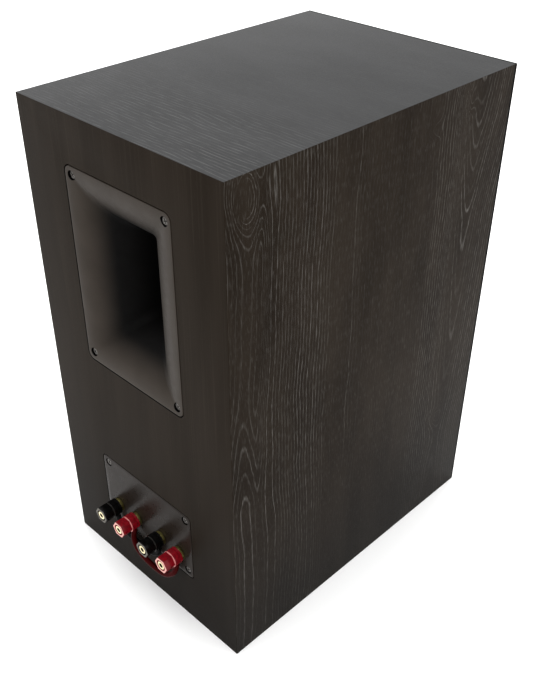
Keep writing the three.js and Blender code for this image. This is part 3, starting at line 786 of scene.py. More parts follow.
def add_piece(node, shape, slot, body="cabinet", at=(0, 0, 0), sharp=32, finish=None, name=None):
    """Puts a shape in place of a CAD node, or adds a named piece that no node stands for."""
    name = name or f"{node}_detail"
    piece = bpy.data.objects.new(name, to_mesh(name, moved(shape, at), MM))
    bpy.context.scene.collection.objects.link(piece)
    piece.data.materials.append(FINISHES[finish or slot])
    piece.data.shade_smooth()
    piece.data.set_sharp_from_angle(angle=math.radians(sharp))
    if body:
        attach(piece, body)
    if node:
        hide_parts(node)
    return piece


def refinish(piece, slots, choose):
    """choose(place, normal) gives each face its own finish, 0, or one of the slots', from 1."""
    for slot in slots:
        piece.data.materials.append(FINISHES[slot])
    for polygon in piece.data.polygons:
        polygon.material_index = choose(polygon.center / MM, polygon.normal)


# ---- Cabinet ----

EDGE = 0.45  # rounding of the sleeve's outside edges
BAFFLE_EDGE = 0.5
FOIL = 0.6  # a face deeper than this isn't covered with foil
PORT_POCKET = {"gap": 0.5, "depth": 5, "ledge": 11}
PORT_CORNER = 5.5
PLATE_POCKET = {"gap": 0.4, "depth": 4.25}
PLATE_CORNER = 3.75
PLATE_HALF = np.array([PLATE_HIGH[0] + 0.3, PLATE_HIGH[2] - PLATE_Z + 0.3])
POCKETS_END = 6  # deeper than both pockets
MOUTH = 0.45  # the eased edge of each pocket
SCREW_HOLE = 1.8
COUNTERBORE = 3.5
TERMINAL_OPENING = [(48.9, 22.5), (41, 29.25)]  # half sizes: behind the posts, and above and below them
SEATS = [(WOOFER, 83.75, 6, 74), (TWEETER, 65.25, 5, 55.5)]  # place, rebate's radius and depth, hole's radius

CENTRE_Z = TOP_Z / 2
HALF = {0: OUTER_X, 1: REAR_Y, 2: CENTRE_Z}
FACES = {  # axis and sign of each wall's outside face
    "left_side_panel": (0, -1),
    "right_side_panel": (0, 1),
    "bottom_panel": (2, -1),
    "top_panel": (2, 1),
    "rear_panel": (1, 1),
}
FOILS = {0: "side_vinyl", 1: "rear_vinyl", 2: "top_vinyl"}


def rounded_box():
    """The sleeve's outside, carried past its front so that only its long and rear edges are rounded."""
    rear = arc((EDGE, REAR_Y - EDGE), EDGE, 180, 90, 3)
    box = skin(shrinking(OUTER_X, CENTRE_Z, EDGE, 3), [[0, FRONT_Y - 10], *rear], closed=False)
    return moved(box, (0, 0, CENTRE_Z))


def face_normal(axis, sign):
    normal = Vector((0, 0, 0))
    normal[axis] = sign
    return normal


def face_point(axis, sign, depth=0.0):
    """A point at a depth below a wall's outside face."""
    point = Vector((0, 0, CENTRE_Z))
    point[axis] += sign * (HALF[axis] - depth)
    return point


def panel(node):
    """A wall cut from the rounded box by the mitres that it shares with its neighbours."""
    own = FACES[node]
    planes = [
        (face_point(*own, WALL), -face_normal(*own)),
        (Vector((0, SLEEVE_FRONT, 0)), Vector((0, -1, 0))),
    ]
    for other in FACES.values():
        if other[0] != own[0]:
            corner = face_point(*own)
            corner[other[0]] = face_point(*other)[other[0]]
            planes.append((corner, (face_normal(*other) - face_normal(*own)).normalized()))
    return sliced(rounded_box(), planes)


def terminal_opening():
    """Wide behind the posts, narrower above and below, where the screws bite."""
    return [
        block((-across, REAR_Y - WALL - 1, PLATE_Z - up), (across, REAR_Y + 1, PLATE_Z + up))
        for across, up in TERMINAL_OPENING
    ]


def screw_places(prefix):
    return [middle(f"{prefix}_screw_{n}") for n in (1, 2, 3, 4)]


def screw_holes(prefix, low, high):
    return [moved(rod(SCREW_HOLE, low, high), (x, 0, z)) for x, _, z in screw_places(prefix)]


def counterbores(prefix, sink, low, z):
    """Cutters for the screws of a part that is shaped about height z."""
    cutters = []
    for x, _, height in screw_places(prefix):
        for radius, bottom in ((COUNTERBORE, -sink), (SCREW_HOLE, low)):
            cutters.append(moved(rod(radius, bottom, 2), (x, 0, height - z)))
    return cutters


def paint_counterbore_shade(piece, prefix):
    """Paints shade in the screws' counterbores: their walls and floors get the matt black seam finish."""
    places = screw_places(prefix)

    def choose(place, _):
        reach = min(math.hypot(place.x - x, place.z - z) for x, _, z in places)
        return int(reach < COUNTERBORE + 0.05 and place.y < REAR_Y - 0.1)

    refinish(piece, ["seam"], choose)


def pocket(half, gap, corner, low, z):
    """A pocket whose mouth is eased, which leaves a fine shadow line round the plate that lies in it."""
    outline = shrinking(half[0] + gap, half[1] + gap, corner + gap)
    profile = [[0, low], [0, REAR_Y - MOUTH], [-MOUTH, REAR_Y], [-MOUTH, REAR_Y + 1]]
    return moved(skin(outline, profile, closed=False), (0, 0, z))


def rear_panel():
    beyond = REAR_Y + 1
    behind = REAR_Y - WALL - 1
    port_floor = REAR_Y - PORT_POCKET["depth"]
    plate_floor = REAR_Y - PLATE_POCKET["depth"]
    opening = shrinking(*(PORT_HALF - PORT_POCKET["ledge"]), PORT_CORNER)
    return cut(panel("rear_panel"), [
        pocket(PORT_HALF, PORT_POCKET["gap"], PORT_CORNER, port_floor, PORT_Z),
        moved(slab(opening, behind, beyond), (0, 0, PORT_Z)),
        pocket(PLATE_HALF, PLATE_POCKET["gap"], PLATE_CORNER, plate_floor, PLATE_Z),
        *terminal_opening(),
        *screw_holes("port", behind, beyond),
        *screw_holes("terminal", behind, beyond),
    ])


def show_bare_board(piece, axis, sign):
    """Below the foil is bare board, and the sides and eased mouths of the rear's pockets get painted shade,
    the matt black seam finish.
    """
    has_pockets = axis == 1
    bare_depth = POCKETS_END if has_pockets else FOIL
    border = 30  # of the rear panel, clear of both pockets

    def choose(place, normal):
        depth = sign * (face_point(axis, sign) - place)[axis]
        inner = abs(place.x) < OUTER_X - border and border < place.z < TOP_Z - border
        eased = has_pockets and inner and abs(normal[axis]) < 0.95
        if depth >= bare_depth:
            return 1
        # Painted shade on the pockets' walls and eased mouths.
        return 2 if eased or depth >= FOIL else 0

    refinish(piece, ["raw_board", "seam"], choose)


def front_baffle():
    """A full-size front edge, a plug inside the sleeve, and stepped seats for the two drivers."""
    front = arc((BAFFLE_EDGE, FRONT_Y + BAFFLE_EDGE), BAFFLE_EDGE, 270, 180, 4)
    outline = shrinking(OUTER_X, CENTRE_Z, BAFFLE_EDGE, 5, least=0.1)
    rim = moved(skin(outline, [*front, [0, SLEEVE_FRONT]], closed=False), (0, 0, CENTRE_Z))
    inside = OUTER_X - WALL
    plug = block((-inside, SLEEVE_FRONT - 0.5, WALL), (inside, BAFFLE_BACK, TOP_Z - WALL))
    cutters = []
    for place, rebate, depth, hole in SEATS:
        for radius, back in ((rebate, FRONT_Y + depth), (hole, BAFFLE_BACK + 1)):
            cutters.append(moved(rod(radius, FRONT_Y - 1, back, 128), (0, 0, place[2])))
    return cut(joined(rim, [plug]), cutters)


def baffle_face(place, normal):
    """Paint on what faces forward, matt black round the rim, and bare board behind."""
    if normal.y < -0.3:
        return 0
    return 2 if place.y < SLEEVE_FRONT + 1.5 else 1


def cabinet():
    for node, (axis, sign) in FACES.items():
        shape = rear_panel() if node == "rear_panel" else panel(node)
        slot = "rear_vinyl" if node == "rear_panel" else "side_vinyl"
        show_bare_board(add_piece(node, shape, slot, finish=FOILS[axis]), axis, sign)
    baffle = add_piece("front_baffle", front_baffle(), "baffle_paint")
    refinish(baffle, ["raw_board", "seam"], baffle_face)
    low, high = corners("cross_brace")
    half = (high - low) / 2
    brace = slab(shrinking(half[0], half[2], 0.6, 3, least=0.6), low[1], high[1], 0.8)
    add_piece("cross_brace", brace, "raw_board", at=(0, 0, middle("cross_brace")[2]))


def foam_pad():
    """A foam slab with soft edges and a lightly waved open face."""
    low, high = corners("damping_foam")
    half = (high - low) / 2
    centre = (high + low) / 2
    edge = 4.0
    side = arc((edge, high[0] - edge), edge, 180, 90, 5)
    inward = [[inset, high[0]] for inset in np.linspace(edge, half[1] - edge, 14)[1:]]
    outline = shrinking(half[1], half[2], edge + 2, 6, least=2)
    shape = skin(outline, [[1, low[0]], [0, low[0] + 1], *side, *inward], closed=False)
    shape = moved(reordered(shape, (1, 0, 2)), (0, centre[1], centre[2]))
    piece = add_piece("damping_foam", shape, "foam", sharp=80)
    for vertex in piece.data.vertices:
        x, y, z = vertex.co / MM
        open_face = min(max((x - low[0] - edge) / (half[0] * 2 - edge), 0), 1)
        wave = 0.5 + 0.5 * noise.noise(Vector((0, y, z)) * 0.05)
        vertex.co.x -= wave * open_face * 1.6 * MM


# ---- Screws, with a cross recess and a cut thread ----

SCREW = {"head_radius": 3.0, "head": 1.8, "radius": 1.5, "core": 1.15, "length": 12.5, "pitch": 0.9}
TWEETER_SCREW_CIRCLE = 59.0
TWEETER_SCREW_SINK = 0.55


def recess_wing(inset):
    """One of the two slots of the cross recess, which taper as they go down."""
    return rounded_rectangle(1.75 - inset, 0.42 - inset * 0.25, 0.12, 2)


def screw():
    head_radius, head, core, length = (SCREW[key] for key in ("head_radius", "head", "core", "length"))
    thread = []
    for along in np.arange(1.6 - length, -head - 0.5, SCREW["pitch"]):
        thread += [[core, along - 0.3], [SCREW["radius"], along], [core, along + 0.3]]
    dome = [[head_radius, -head], [head_radius, -0.55], [2.55, -0.12], [0, 0]]
    profile = [[0, -length], *thread, [1.4, -head], *softened(dome, 0.25, closed=False)]
    wing = skin(recess_wing, [[0, 0.5], [0, -0.05], [0.75, -1.15]], closed=False)
    return cut(turned(profile, 48, closed=False), [wing, spun(wing, 90)])


def tweeter_screw_places():
    """Four places at 45 degrees to the upright, about the tweeter's axis."""
    reach = TWEETER_SCREW_CIRCLE * math.cos(math.pi / 4)
    return [(reach, 0, reach), (-reach, 0, reach), (-reach, 0, -reach), (reach, 0, -reach)]


def screws():
    shape = screw()
    for prefix, turn in (("port", 17), ("terminal", 38)):
        for n, (x, _, z) in enumerate(screw_places(prefix), 1):
            node = f"{prefix}_screw_{n}"
            add_piece(node, spun(shape, turn * n), "black_screw", at=(x, corners(node)[1][1], z))
    facing = (shape[0] * np.array([1, -1, 1]), shape[1])
    for n, place in enumerate(tweeter_screw_places(), 1):
        at = TWEETER + place + np.array([0, TWEETER_SCREW_SINK, 0])
        add_piece(None, spun(facing, 31 * n), "black_screw", at=at, name=f"tweeter_screw_{n}")


# ---- Port ----

FLARE = 41
PORT_WALL = 3
FLANGE = 4
PORT_SCREW_SINK = 3
DUCT_FLARE = 15
DUCT_CORNER = 7
PORT_SEAL = 8.5  # width of the gasket


def port_outline(grow):
    """The corner starts round at the flange, tightens to a crease and opens out again towards the throat."""
    sunk = min(max(-grow / FLARE, 0), 1)
    tight = 1.4 + 5.6 * sunk ** 1.5
    near_flange = max(1 - sunk / 0.11, 0) ** 1.5
    corner = tight + (PORT_CORNER - tight) * near_flange
    return rounded_rectangle(PORT_HALF[0] + grow, PORT_HALF[1] + grow, corner, 10)


def port_horn():
    back = FLARE - PORT_WALL
    leave = math.degrees(math.acos((FLARE - FLANGE) / back))
    collar = COLLAR_END - REAR_Y
    profile = [
        [0, -FLANGE],
        [0, -0.2],
        [-0.05, -0.05],
        *arc((0, -FLARE), FLARE, 90.6, 180, 40),
        [-FLARE, collar],
        [-back, collar],
        *arc((0, -FLARE), back, 180, 90 + leave, 16),
    ]
    return cut(skin(port_outline, profile), counterbores("port", PORT_SCREW_SINK, -FLANGE - 2, PORT_Z))


def duct_outline(grow):
    corner = max(DUCT_CORNER + grow, DUCT_CORNER)
    return rounded_rectangle(PORT_HALF[0] - FLARE + grow, PORT_HALF[1] - FLARE + grow, corner, 10)


def port_duct():
    mouth = DUCT_END - REAR_Y + DUCT_FLARE
    socket = PORT_WALL + 0.3
    outside = socket + PORT_WALL
    seam = COLLAR_END - REAR_Y - 0.3
    overlap = seam + 10
    sleeve = [[outside, seam - PORT_WALL], [outside, overlap], [socket, overlap], [socket, seam]]
    return skin(duct_outline, [
        *softened(sleeve, 0.6, closed=False),
        [0, seam],
        *arc((DUCT_FLARE, mouth), DUCT_FLARE, 180, 270, 16),
        [DUCT_FLARE + PORT_WALL, mouth - DUCT_FLARE],
        *arc((DUCT_FLARE, mouth), DUCT_FLARE - PORT_WALL, 270, 180, 12),
        [PORT_WALL, seam - PORT_WALL],
    ])


def gasket(prefix, half, corner, front, inside, z):
    """A flat foam seal, cut out for the opening inside it and for the screws."""
    seal = slab(shrinking(half[0] - 0.3, half[1] - 0.3, corner), front - 1, front)
    holes = [moved(hole, (0, 0, -z)) for hole in screw_holes(prefix, front - 3, 2)]
    piece = add_piece(f"{prefix}_gasket", cut(seal, [*inside, *holes]), "foam", at=(0, REAR_Y, z))


def port():
    at = (0, REAR_Y, PORT_Z)
    horn = add_piece("port_horn", port_horn(), "satin_plastic", at=at, finish="horn_plastic")
    paint_counterbore_shade(horn, "port")
    add_piece("port_duct", port_duct(), "satin_plastic", at=at, finish="horn_plastic")
    window = slab(shrinking(*(PORT_HALF - PORT_SEAL), PORT_CORNER), -FLANGE - 3, 2)
    gasket("port", PORT_HALF, PORT_CORNER, -FLANGE, [window], PORT_Z)


# ---- Terminal plate and binding posts ----

PLATE_THICKNESS = 3.25
PLATE_SCREW_SINK = 2.25
PLATE_EDGE = 0.18
BOSS = {"height": 1.0, "radius": 5.8, "seat": 0.3}
SLOT_WIDTH = 2.8
TAIL_RADIUS = 2.5
TAIL_HOLE = TAIL_RADIUS + 0.3
STUD_RADIUS = 3.6
STUD_BORE = 2.0
BORE_DEPTH = 13
CAP_BORE = STUD_RADIUS + 0.3
CAP_LOW = corners("post_cap_1")[0][1] - REAR_Y
CAP_END = corners("post_cap_1")[1][1] - REAR_Y
RING_LOW = corners("post_ring_1")[0][1] - REAR_Y
RING_RADIUS = 6.2
RING_TEETH = 30
HEX_RADIUS = 7.25
COLLAR_RADIUS = 7.0
WAIST_RADIUS = 6.75
NUT_RADIUS = 4.6
NUT_HEIGHT = 3.5


def terminal_plate():
    edge = [[0, -PLATE_EDGE], [0.05, -0.05], [PLATE_EDGE, 0]]
    plate = skin(shrinking(*PLATE_HALF, PLATE_CORNER), [[0, -PLATE_THICKNESS], *edge], closed=False)
    side, top = BOSS["radius"], BOSS["height"]
    boss = turned(softened([[0, -1], [side, -1], [side, top], [0, top]], 0.3, closed=False), 64, closed=False)
    places = [(POST_PLACES[n][0], 0, POST_Z - PLATE_Z) for n in POSTS]
    plate = joined(plate, [moved(boss, place) for place in places])
    wire_slot = block((-SLOT_WIDTH / 2, BOSS["seat"], -side - 1), (SLOT_WIDTH / 2, 4, 0))
    cutters = []
    for place in places:
        for cutter in (rod(CAP_BORE, BOSS["seat"], 4, 64), rod(TAIL_HOLE, -5, 4), wire_slot):
            cutters.append(moved(cutter, place))
    return cut(plate, [*cutters, *counterbores("terminal", PLATE_SCREW_SINK, -5, PLATE_Z)])


def post_stud():
    """A threaded stud with a plug socket in its end and a thinner tail behind."""
    end = CAP_END - 0.2
    floor = end - BORE_DEPTH
    seat = BOSS["seat"]
    tail = corners("post_stud_1")[0][1] - REAR_Y
    grooves = []
    for along in np.arange(seat + 1.2, end - 1.4, 1.0):
        grooves += [[STUD_RADIUS, along - 0.28], [STUD_RADIUS - 0.3, along], [STUD_RADIUS, along + 0.28]]
    shank = [[0, tail], [TAIL_RADIUS, tail], [TAIL_RADIUS, seat], [STUD_RADIUS, seat]]
    mouth = [[STUD_RADIUS, end - 0.9], [STUD_RADIUS, end], [STUD_BORE, end], [STUD_BORE, floor], [0, floor]]
    profile = [*softened(shank, 0.4, closed=False), *grooves, *softened(mouth, 0.35, closed=False)]
    return turned(profile, 48, closed=False)


def in_socket(place, post):
    """1 for a place inside a post's plug socket, which gets painted shade."""
    x, y, z = np.array(place) - post
    is_deep = CAP_END - BORE_DEPTH - 1 < y < CAP_END - 0.4
    return int(is_deep and math.hypot(x, z) < STUD_BORE + 0.15)


def post_ring():
    """A clamp ring with a knurled rim, and a skirt over the boss with a notch for the wire."""
    skirt = BOSS["radius"] + 0.12
    low, top = RING_LOW + 0.05, CAP_LOW - 0.04

    def rim(reach):
        if reach > skirt + 0.1:
            return toothed(reach, RING_TEETH, 0.13)
        return circle(reach, RING_TEETH * 6)

    section = [[skirt, 0.15], [RING_RADIUS, 0.15], [RING_RADIUS, top]]
    section += [[CAP_BORE, top], [CAP_BORE, low], [skirt, low]]
    notch = block((-SLOT_WIDTH / 2, -1, -8), (SLOT_WIDTH / 2, low, -5))
    return cut(skin(rim, softened(section, 0.06)), [notch])


def post_cap():
    """A round collar with a waist, then six flats, and a groove round the stud's end."""
    low, end = CAP_LOW, CAP_END
    shoulder = end - HEX_LENGTH
    collar = [[0.5, low], [0.12, low + 0.15], [0, low + 0.5]]
    ledge = [[0, low + 3.0], [0, shoulder - 0.45], [0.1, shoulder - 0.12], [0.4, shoulder]]
    flats = [[0, shoulder + 0.02], [0, end - 0.75], [0.15, end - 0.35], [0.55, end - 0.05], [0.8, end]]
    inside = [[5.05, end], [4.8, end - 0.25], [4.8, end - 1.2], [CAP_BORE, end - 1.2], [CAP_BORE, low]]
    return lofted([
        *[(circle(COLLAR_RADIUS - inset, 96), y) for inset, y in collar],
        *[(circle(WAIST_RADIUS, 96), y) for y in (low + 2.0, low + 2.6)],
        *[(circle(COLLAR_RADIUS - inset, 96), y) for inset, y in ledge],
        *[(hexagon(HEX_RADIUS - inset), y) for inset, y in flats],
        *[(circle(radius, 96), y) for radius, y in inside],
    ])


def post_nut():
    high = -PLATE_THICKNESS
    low = high - NUT_HEIGHT
    chamfer = [(0.4, 0.0), (0.05, 0.35), (0.0, 0.6)]  # inset, and distance from the end
    profile = [(inset, low + along) for inset, along in chamfer]
    profile += [(inset, high - along) for inset, along in chamfer[::-1]]
    return lofted([
        *[(hexagon(NUT_RADIUS - inset, 96, 0.97), y) for inset, y in profile],
        *[(circle(TAIL_HOLE, 96), y) for y in (high, low)],
    ])


def terminals():
    plate = add_piece("terminal_plate", terminal_plate(), "gloss_plastic", at=(0, REAR_Y, PLATE_Z))
    paint_counterbore_shade(plate, "terminal")
    inside = [moved(solid, (0, -REAR_Y, -PLATE_Z)) for solid in terminal_opening()]
    gasket("terminal", PLATE_HALF, PLATE_CORNER, -PLATE_THICKNESS, inside, PLATE_Z)
    stud, ring, cap, nut = post_stud(), post_ring(), post_cap(), post_nut()
    for n in POSTS:
        at = np.array([POST_PLACES[n][0], REAR_Y, POST_Z])
        piece = add_piece(f"post_stud_{n}", stud, "gold_plate", at=at)
        # Painted shade inside the plug socket.
        refinish(piece, ["socket"], lambda place, _: in_socket(place, at))
        add_piece(f"post_nut_{n}", nut, "nickel", at=at)
        add_piece(f"post_ring_{n}", ring, "gold_plate", f"ring_{n}", at, sharp=50, finish="dull_gold")
        add_piece(f"post_cap_{n}", cap, "black_cap" if n % 2 else "red_plastic", f"cap_{n}", at, sharp=25)


# Routes of the two jumpers, as [x, height off the rear face, z].
RED_ROUTE = [
    (15, 3.4, 57),
    (14.6, 5.8, 51.5),
    (9.5, 7.8, 44.5),
    (-1, 8, 39),
    (-14, 8, 37.5),
    (-27, 7.4, 39),
    (-35.5, 5.6, 46.5),
    (-37.9, 3.4, 57),
]
BLACK_ROUTE = [
    (37.9, 3.4, 57),
    (36.5, 3, 50),
    (28.5, 2.7, 44),
    (12, 2.7, 42),
    (-4.5, 2.7, 44),
    (-13, 3, 50),
    (-15, 3.4, 57),
]
WIRE_RADIUS = 2.25
STRANDS_RADIUS = 0.72
STRANDS_LAY = 9.0


def bare_end(x):
    """Twisted strands from an insulation's end, pressed flat where they lie in a boss's slot."""
    height = BOSS["seat"] + 0.32
    path = spline([(x, 3.3, 56.2), (x, 2.3, 58.0), (x, height, 60.4), (x, height, 62.9)], 10)
    core = tube(path, STRANDS_RADIUS * 0.36, 8)
    layer = twisted(path, 7, STRANDS_LAY, STRANDS_RADIUS * 0.66, STRANDS_RADIUS * 0.34, 8)
    points, faces = merged([core, *layer])
    pressed = np.clip((points[:, 2] - 57.5) / 2.5, 0, 1)
    points[:, 1] = height + (points[:, 1] - height) * (1 - 0.55 * pressed * (points[:, 1] < 2.0))
    points[:, 0] = x + (points[:, 0] - x) * (1 + 0.5 * pressed)
    return points, faces


def jumpers():
    at = (0, REAR_Y, 0)
    for colour, route in (("red", RED_ROUTE), ("black", BLACK_ROUTE)):
        path = spline(route, 14)
        radii = np.full(len(path), WIRE_RADIUS)
        radii[[0, -1]] *= 0.86
        add_piece(f"jumper_{colour}", tube(path, radii, 28), f"{colour}_wire", at=at, sharp=60)
        ends = merged([bare_end(route[0][0]), bare_end(route[-1][0])])
        add_piece(None, ends, "bare_copper", at=at, sharp=60, name=f"jumper_{colour}_ends")


# ---- Drivers: points of [radius, depth behind the front face], turned about each driver's axis ----

def woofer_basket():
    shell = turned(softened([
        [71.5, 2], [83.25, 2], [83.25, 6], [73.5, 6], [73.5, 14], [59.5, 36], [59.5, 42], [54, 42],
        [54, 52], [22, 52], [22, 48], [51, 48], [51, 38], [56.5, 38], [56.5, 36], [71.5, 13],
    ], 0.8), 144)
    window = reordered(slab(shrinking(17, 9, 5, 6), 50, 80), (0, 2, 1))
    return cut(shell, [spun(moved(window, (0, 25, 0)), 60 * i) for i in range(6)])


def woofer_trim_ring():
    return turned(softened([[71, 0], [83.25, 0], [83.25, 2], [77, 2], [77, 1], [71, 1]], 0.4), 160)


def woofer_surround():
    """A half roll that stands forward, between two flat edges."""
    centre, radius = (65, 6.5), 5.5
    return turned([
        [59.3, 6.5],
        *arc(centre, radius, 180, 360, 20),
        [70.5, 1], [76.5, 1], [76.5, 2], [71.2, 2], [71.2, 7.5], [69.5, 7.5],
        *arc(centre, radius - 1, 360, 180, 20),
        [60.5, 7.5], [59.3, 7.5],
    ], 160)


def woofer_cone():
    face = bend((19.6, 33), (33, 16), (59, 6.5), 24)
    return turned([*face, *thickened(face, 1.2)], 160)


def woofer_dust_cap():
    front = arc((0, 55.2), 37.2, 270, 309.8, 20)
    back = arc((0, 55.2), 36.2, 311.1, 270, 20)
    return turned([*front, *back], 128, closed=False)


def woofer_spider():
    """A corrugated disc between two flat rims."""
    folds = 6
    level = 37.25
    waves = [[r, level + 1.3 * math.cos(math.pi * folds * (r - 22) / 26)] for r in np.linspace(22, 48, 61)]
    face = [[19.6, level], [20.6, level + 0.35], *waves, [49.6, level + 0.35], [50.7, level], [56, level]]
    return turned([*face, *thickened(face, 0.75)], 128)


def wound(inside, former, outside, low, high, winding, pitch):
    """A former with wire wound over part of its length."""
    start, end = winding
    turns = []
    for along in np.arange(start, end - pitch / 2, pitch):
        turns += [[former, along], [outside, along + pitch * 0.3], [outside, along + pitch * 0.7]]
    return turned([[inside, low], [former, low], *turns, [former, end], [former, high], [inside, high]], 96)


def ring(inside, outside, low, high, edge):
    return turned(softened([[inside, low], [outside, low], [outside, high], [inside, high]], edge))


def tweeter_waveguide():
    face = bend((14.6, 19), (22, 4), (56, 0), 28)
    rim = [[56, 0], [64.75, 0], [64.75, 5], [55, 5], [26, 21], [14.6, 21], [14.6, 19]]
    plate = turned([*face, *softened(rim, 0.5, closed=False)[1:-1]], 160)
    holes = []
    for place in tweeter_screw_places():
        holes.append(moved(rod(3.3, -1, 2.5), place))
        holes.append(moved(rod(SCREW_HOLE, -1, 6), place))
    return cut(plate, holes)


def tweeter_dome():
    """A foil dome and, round it, the small roll that carries it."""
    front = arc((0, 31.3), 17.9, 270, 313, 16)
    back = arc((0, 31.3), 17.3, 313, 270, 16)
    rim = [[12.9, 18.0], [13.4, 17.75], [14.2, 18.2], [14.2, 18.8], [12.3, 18.8]]
    return turned([*front, *softened(rim, 0.25, closed=False), *back], 96, closed=False)


def stretch(piece, place, inner, outer):
    """The inner edge belongs with the cone and the outer edge with the basket. Bakes the piece's place into
    its mesh and works out each point's share between the two edges; nothing uses the share.
    """
    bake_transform(piece)
    points = np.array([vertex.co for vertex in piece.data.vertices]) / MM
    radius = np.hypot(points[:, 0], points[:, 2] - place[2])
    share = np.clip((outer - radius) / (outer - inner), 0, 1)


def woofer():
    yoke = [[5, 51.5], [17.5, 51.5], [17.5, 74], [46, 74], [46, 80], [5, 80]]
    for name, shape, slot, body in (
        ("basket", woofer_basket(), "cast_metal", "cabinet"),
        ("trim_ring", woofer_trim_ring(), "satin_plastic", "cabinet"),
        ("cone", woofer_cone(), "cone", "woofer_moving"),
        ("dust_cap", woofer_dust_cap(), "cone", "woofer_moving"),
        ("voice_coil", wound(18.4, 18.8, 19.3, 30, 64, (46, 63.5), 0.5), "copper_coil", "woofer_moving"),
        ("top_plate", ring(20.3, 46, 52, 58, 0.6), "steel", "cabinet"),
        ("magnet", ring(25, 50, 58, 74, 1.2), "ferrite", "cabinet"),
        ("yoke", turned(softened(yoke, 0.8)), "steel", "cabinet"),
    ):
        add_piece(f"woofer_{name}", shape, slot, body, WOOFER)
    stretch(add_piece("woofer_surround", woofer_surround(), "rubber", None, WOOFER), WOOFER, 60.0, 70.3)
    stretch(add_piece("woofer_spider", woofer_spider(), "cloth", None, WOOFER), WOOFER, 20.5, 50.0)


def tweeter():
    yoke = softened([[0, 19.5], [11.2, 19.5], [11.2, 32], [30, 32], [30, 36], [0, 36]], 0.6, closed=False)
    for name, shape, slot, body in (
        ("waveguide", tweeter_waveguide(), "satin_plastic", "cabinet"),
        ("dome", tweeter_dome(), "dome_metal", "tweeter_moving"),
        ("voice_coil", wound(12, 12.35, 12.7, 19.1, 27, (20.5, 26.5), 0.3), "copper_coil", "tweeter_moving"),
        ("top_plate", ring(13.6, 30, 21, 24, 0.4), "steel", "cabinet"),
        ("magnet", ring(16, 31, 24, 32, 0.8), "ferrite", "cabinet"),
        ("yoke", turned(yoke, 96, closed=False), "steel", "cabinet"),
    ):
        add_piece(f"tweeter_{name}", shape, slot, body, TWEETER)


# ---- Crossover and leads ----

def crossover_board():
    low, high = corners("crossover_board")
    half = (high - low) / 2
    board = slab(shrinking(half[0], half[2], 2, 5, least=2), low[1], high[1], 0.1)
    hole = rod(TAIL_HOLE, low[1] - 1, high[1] + 1)
    holes = [moved(hole, (POST_PLACES[n][0], 0, POST_Z)) for n in POSTS]
    return cut(moved(board, (0, 0, middle("crossover_board")[2])), holes)


def crossover_coil():
    low, high = corners("crossover_coil")
    outside = (high[0] - low[0]) / 2
    turns = []
    for along in np.arange(low[1] + 0.5, high[1] - 0.4, 1.0):
        turns += [[outside - 0.3, along - 0.5], [outside, along - 0.2], [outside, along + 0.2]]
    return turned([[7, low[1]], *turns, [outside - 0.3, high[1]], [7, high[1]]], 96)


def crossover_capacitor():
    """A sleeved roll with a rolled rim at each end."""
    low, high = corners("crossover_capacitor")
    radius = (high[2] - low[2]) / 2
    rim = [[0, 0.6], [radius - 1.6, 0.6], [radius - 1.2, 0], [radius, 0]]
    far_rim = [[reach, high[0] - low[0] - along] for reach, along in rim[::-1]]
    roll = turned(softened([*rim, *far_rim], 0.5, closed=False), 64, closed=False)
    return reordered(roll, (1, 0, 2))


def crossover():
    add_piece("crossover_board", crossover_board(), "circuit")
    coil_x, _, coil_z = middle("crossover_coil")
    add_piece("crossover_coil", crossover_coil(), "copper_coil", at=(coil_x, 0, coil_z))
    end = corners("crossover_capacitor")[0][0]
    _, capacitor_y, capacitor_z = middle("crossover_capacitor")
    add_piece("crossover_capacitor", crossover_capacitor(), "sleeve", at=(end, capacitor_y, capacitor_z))


WOOFER_LEAD = [
    (41, 129, 96),
    (46, 118, 94),
    (64, 95, 78),
    (76, 55, 40),
    (77, 0, 26),
    (76, -45, 40),
    (72, -78, 80),
    (62.5, -98, 112),
]
TWEETER_LEAD = [
    (0, 129, 97),
    (-8, 116, 101),
    (-40, 100, 125),
    (-70, 70, 165),
    (-76, 25, 188),
    (-74, -30, 215),
    (-52, -80, 255),
    (-36, -106, 285),
]
LEAD_RADIUS = 1.5
LEAD_LAY = 16.0


def leads():
    """Each lead is a pair of insulated wires twisted together."""
    for name, route, slot in (("woofer", WOOFER_LEAD, "red_wire"), ("tweeter", TWEETER_LEAD, "black_wire")):
        pair = twisted(spline(route, 26), 2, LEAD_LAY, LEAD_RADIUS * 0.49, LEAD_RADIUS * 0.48, 12)
        add_piece(f"{name}_lead", merged(pair), slot, sharp=60)


# ---- Stage: floor, lights and camera ----

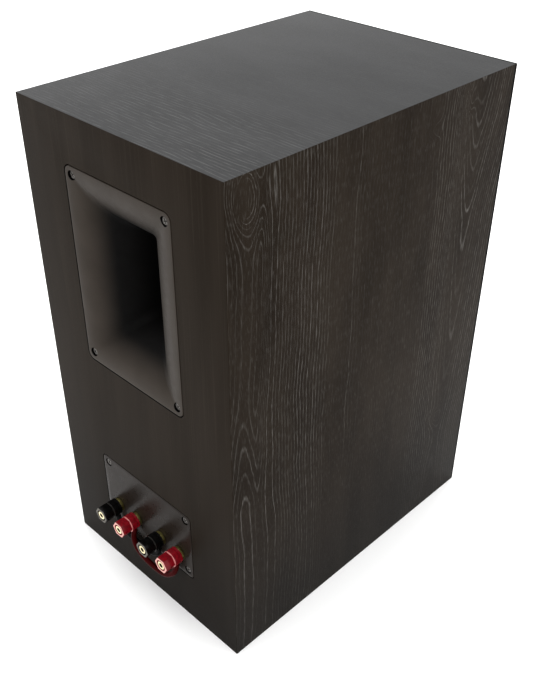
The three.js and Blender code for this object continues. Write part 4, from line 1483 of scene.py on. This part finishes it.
FLOOR_HALF = 6.0
LIGHTS = [  # name, place, side, power in watts
    ("overhead", (0.3, -0.3, 2.3), 2.0, 38),
    ("rear_fill", (-0.2, 2.4, 2.2), 1.6, 3),
    ("side_fill", (-2.4, 0.0, 2.2), 1.6, 3),
]
WORLD_STRENGTH = 1.5
CAMERA_PLACE = (-0.43527, 0.44602, 0.60286)
CAMERA_AIM = (0.57729, -0.57822, -0.57654)


def floor():
    finish = Finish("floor", Roughness=0.9, Specular_IOR_Level=0.1)
    finish.colour(finish.mix(finish.noise(0.004, 3.0), (0.945, 0.945, 0.942), (0.965, 0.965, 0.962)))
    mesh = bpy.data.meshes.new("floor")
    square = [(-1, -1), (1, -1), (1, 1), (-1, 1)]
    mesh.from_pydata([(x * FLOOR_HALF, y * FLOOR_HALF, 0) for x, y in square], [], [(0, 1, 2, 3)])
    mesh.materials.append(finish.material)
    piece = bpy.data.objects.new("floor", mesh)
    piece.location.z = -0.0002
    bpy.context.scene.collection.objects.link(piece)


def lights():
    target = Vector((0, 0, CENTRE_Z * MM))
    for name, place, side, power in LIGHTS:
        data = bpy.data.lights.new(name, "AREA")
        data.shape = "SQUARE"
        data.size = side
        data.energy = power
        light = bpy.data.objects.new(name, data)
        light.location = place
        light.rotation_euler = (target - Vector(place)).to_track_quat("-Z", "Y").to_euler()
        bpy.context.scene.collection.objects.link(light)
    world = bpy.data.worlds.new("studio")
    world.use_nodes = True
    background = world.node_tree.nodes["Background"]
    background.inputs["Color"].default_value = (1.0, 1.0, 1.0, 1)
    background.inputs["Strength"].default_value = WORLD_STRENGTH
    bpy.context.scene.world = world
    bpy.context.scene.view_settings.view_transform = "Standard"


def camera():
    data = bpy.data.cameras.new("camera")
    data.lens = 48.30
    data.shift_y = 0.0255
    data.shift_x = 0.0009
    camera = bpy.data.objects.new("camera", data)
    camera.location = CAMERA_PLACE
    camera.rotation_euler = Vector(CAMERA_AIM).to_track_quat("-Z", "Y").to_euler()
    bpy.context.scene.collection.objects.link(camera)
    bpy.context.scene.camera = camera


for make in (
    camera, lights, floor, make_finishes,
    cabinet, foam_pad, screws, port, terminals, jumpers, woofer, tweeter, crossover, leads,
):
    make()
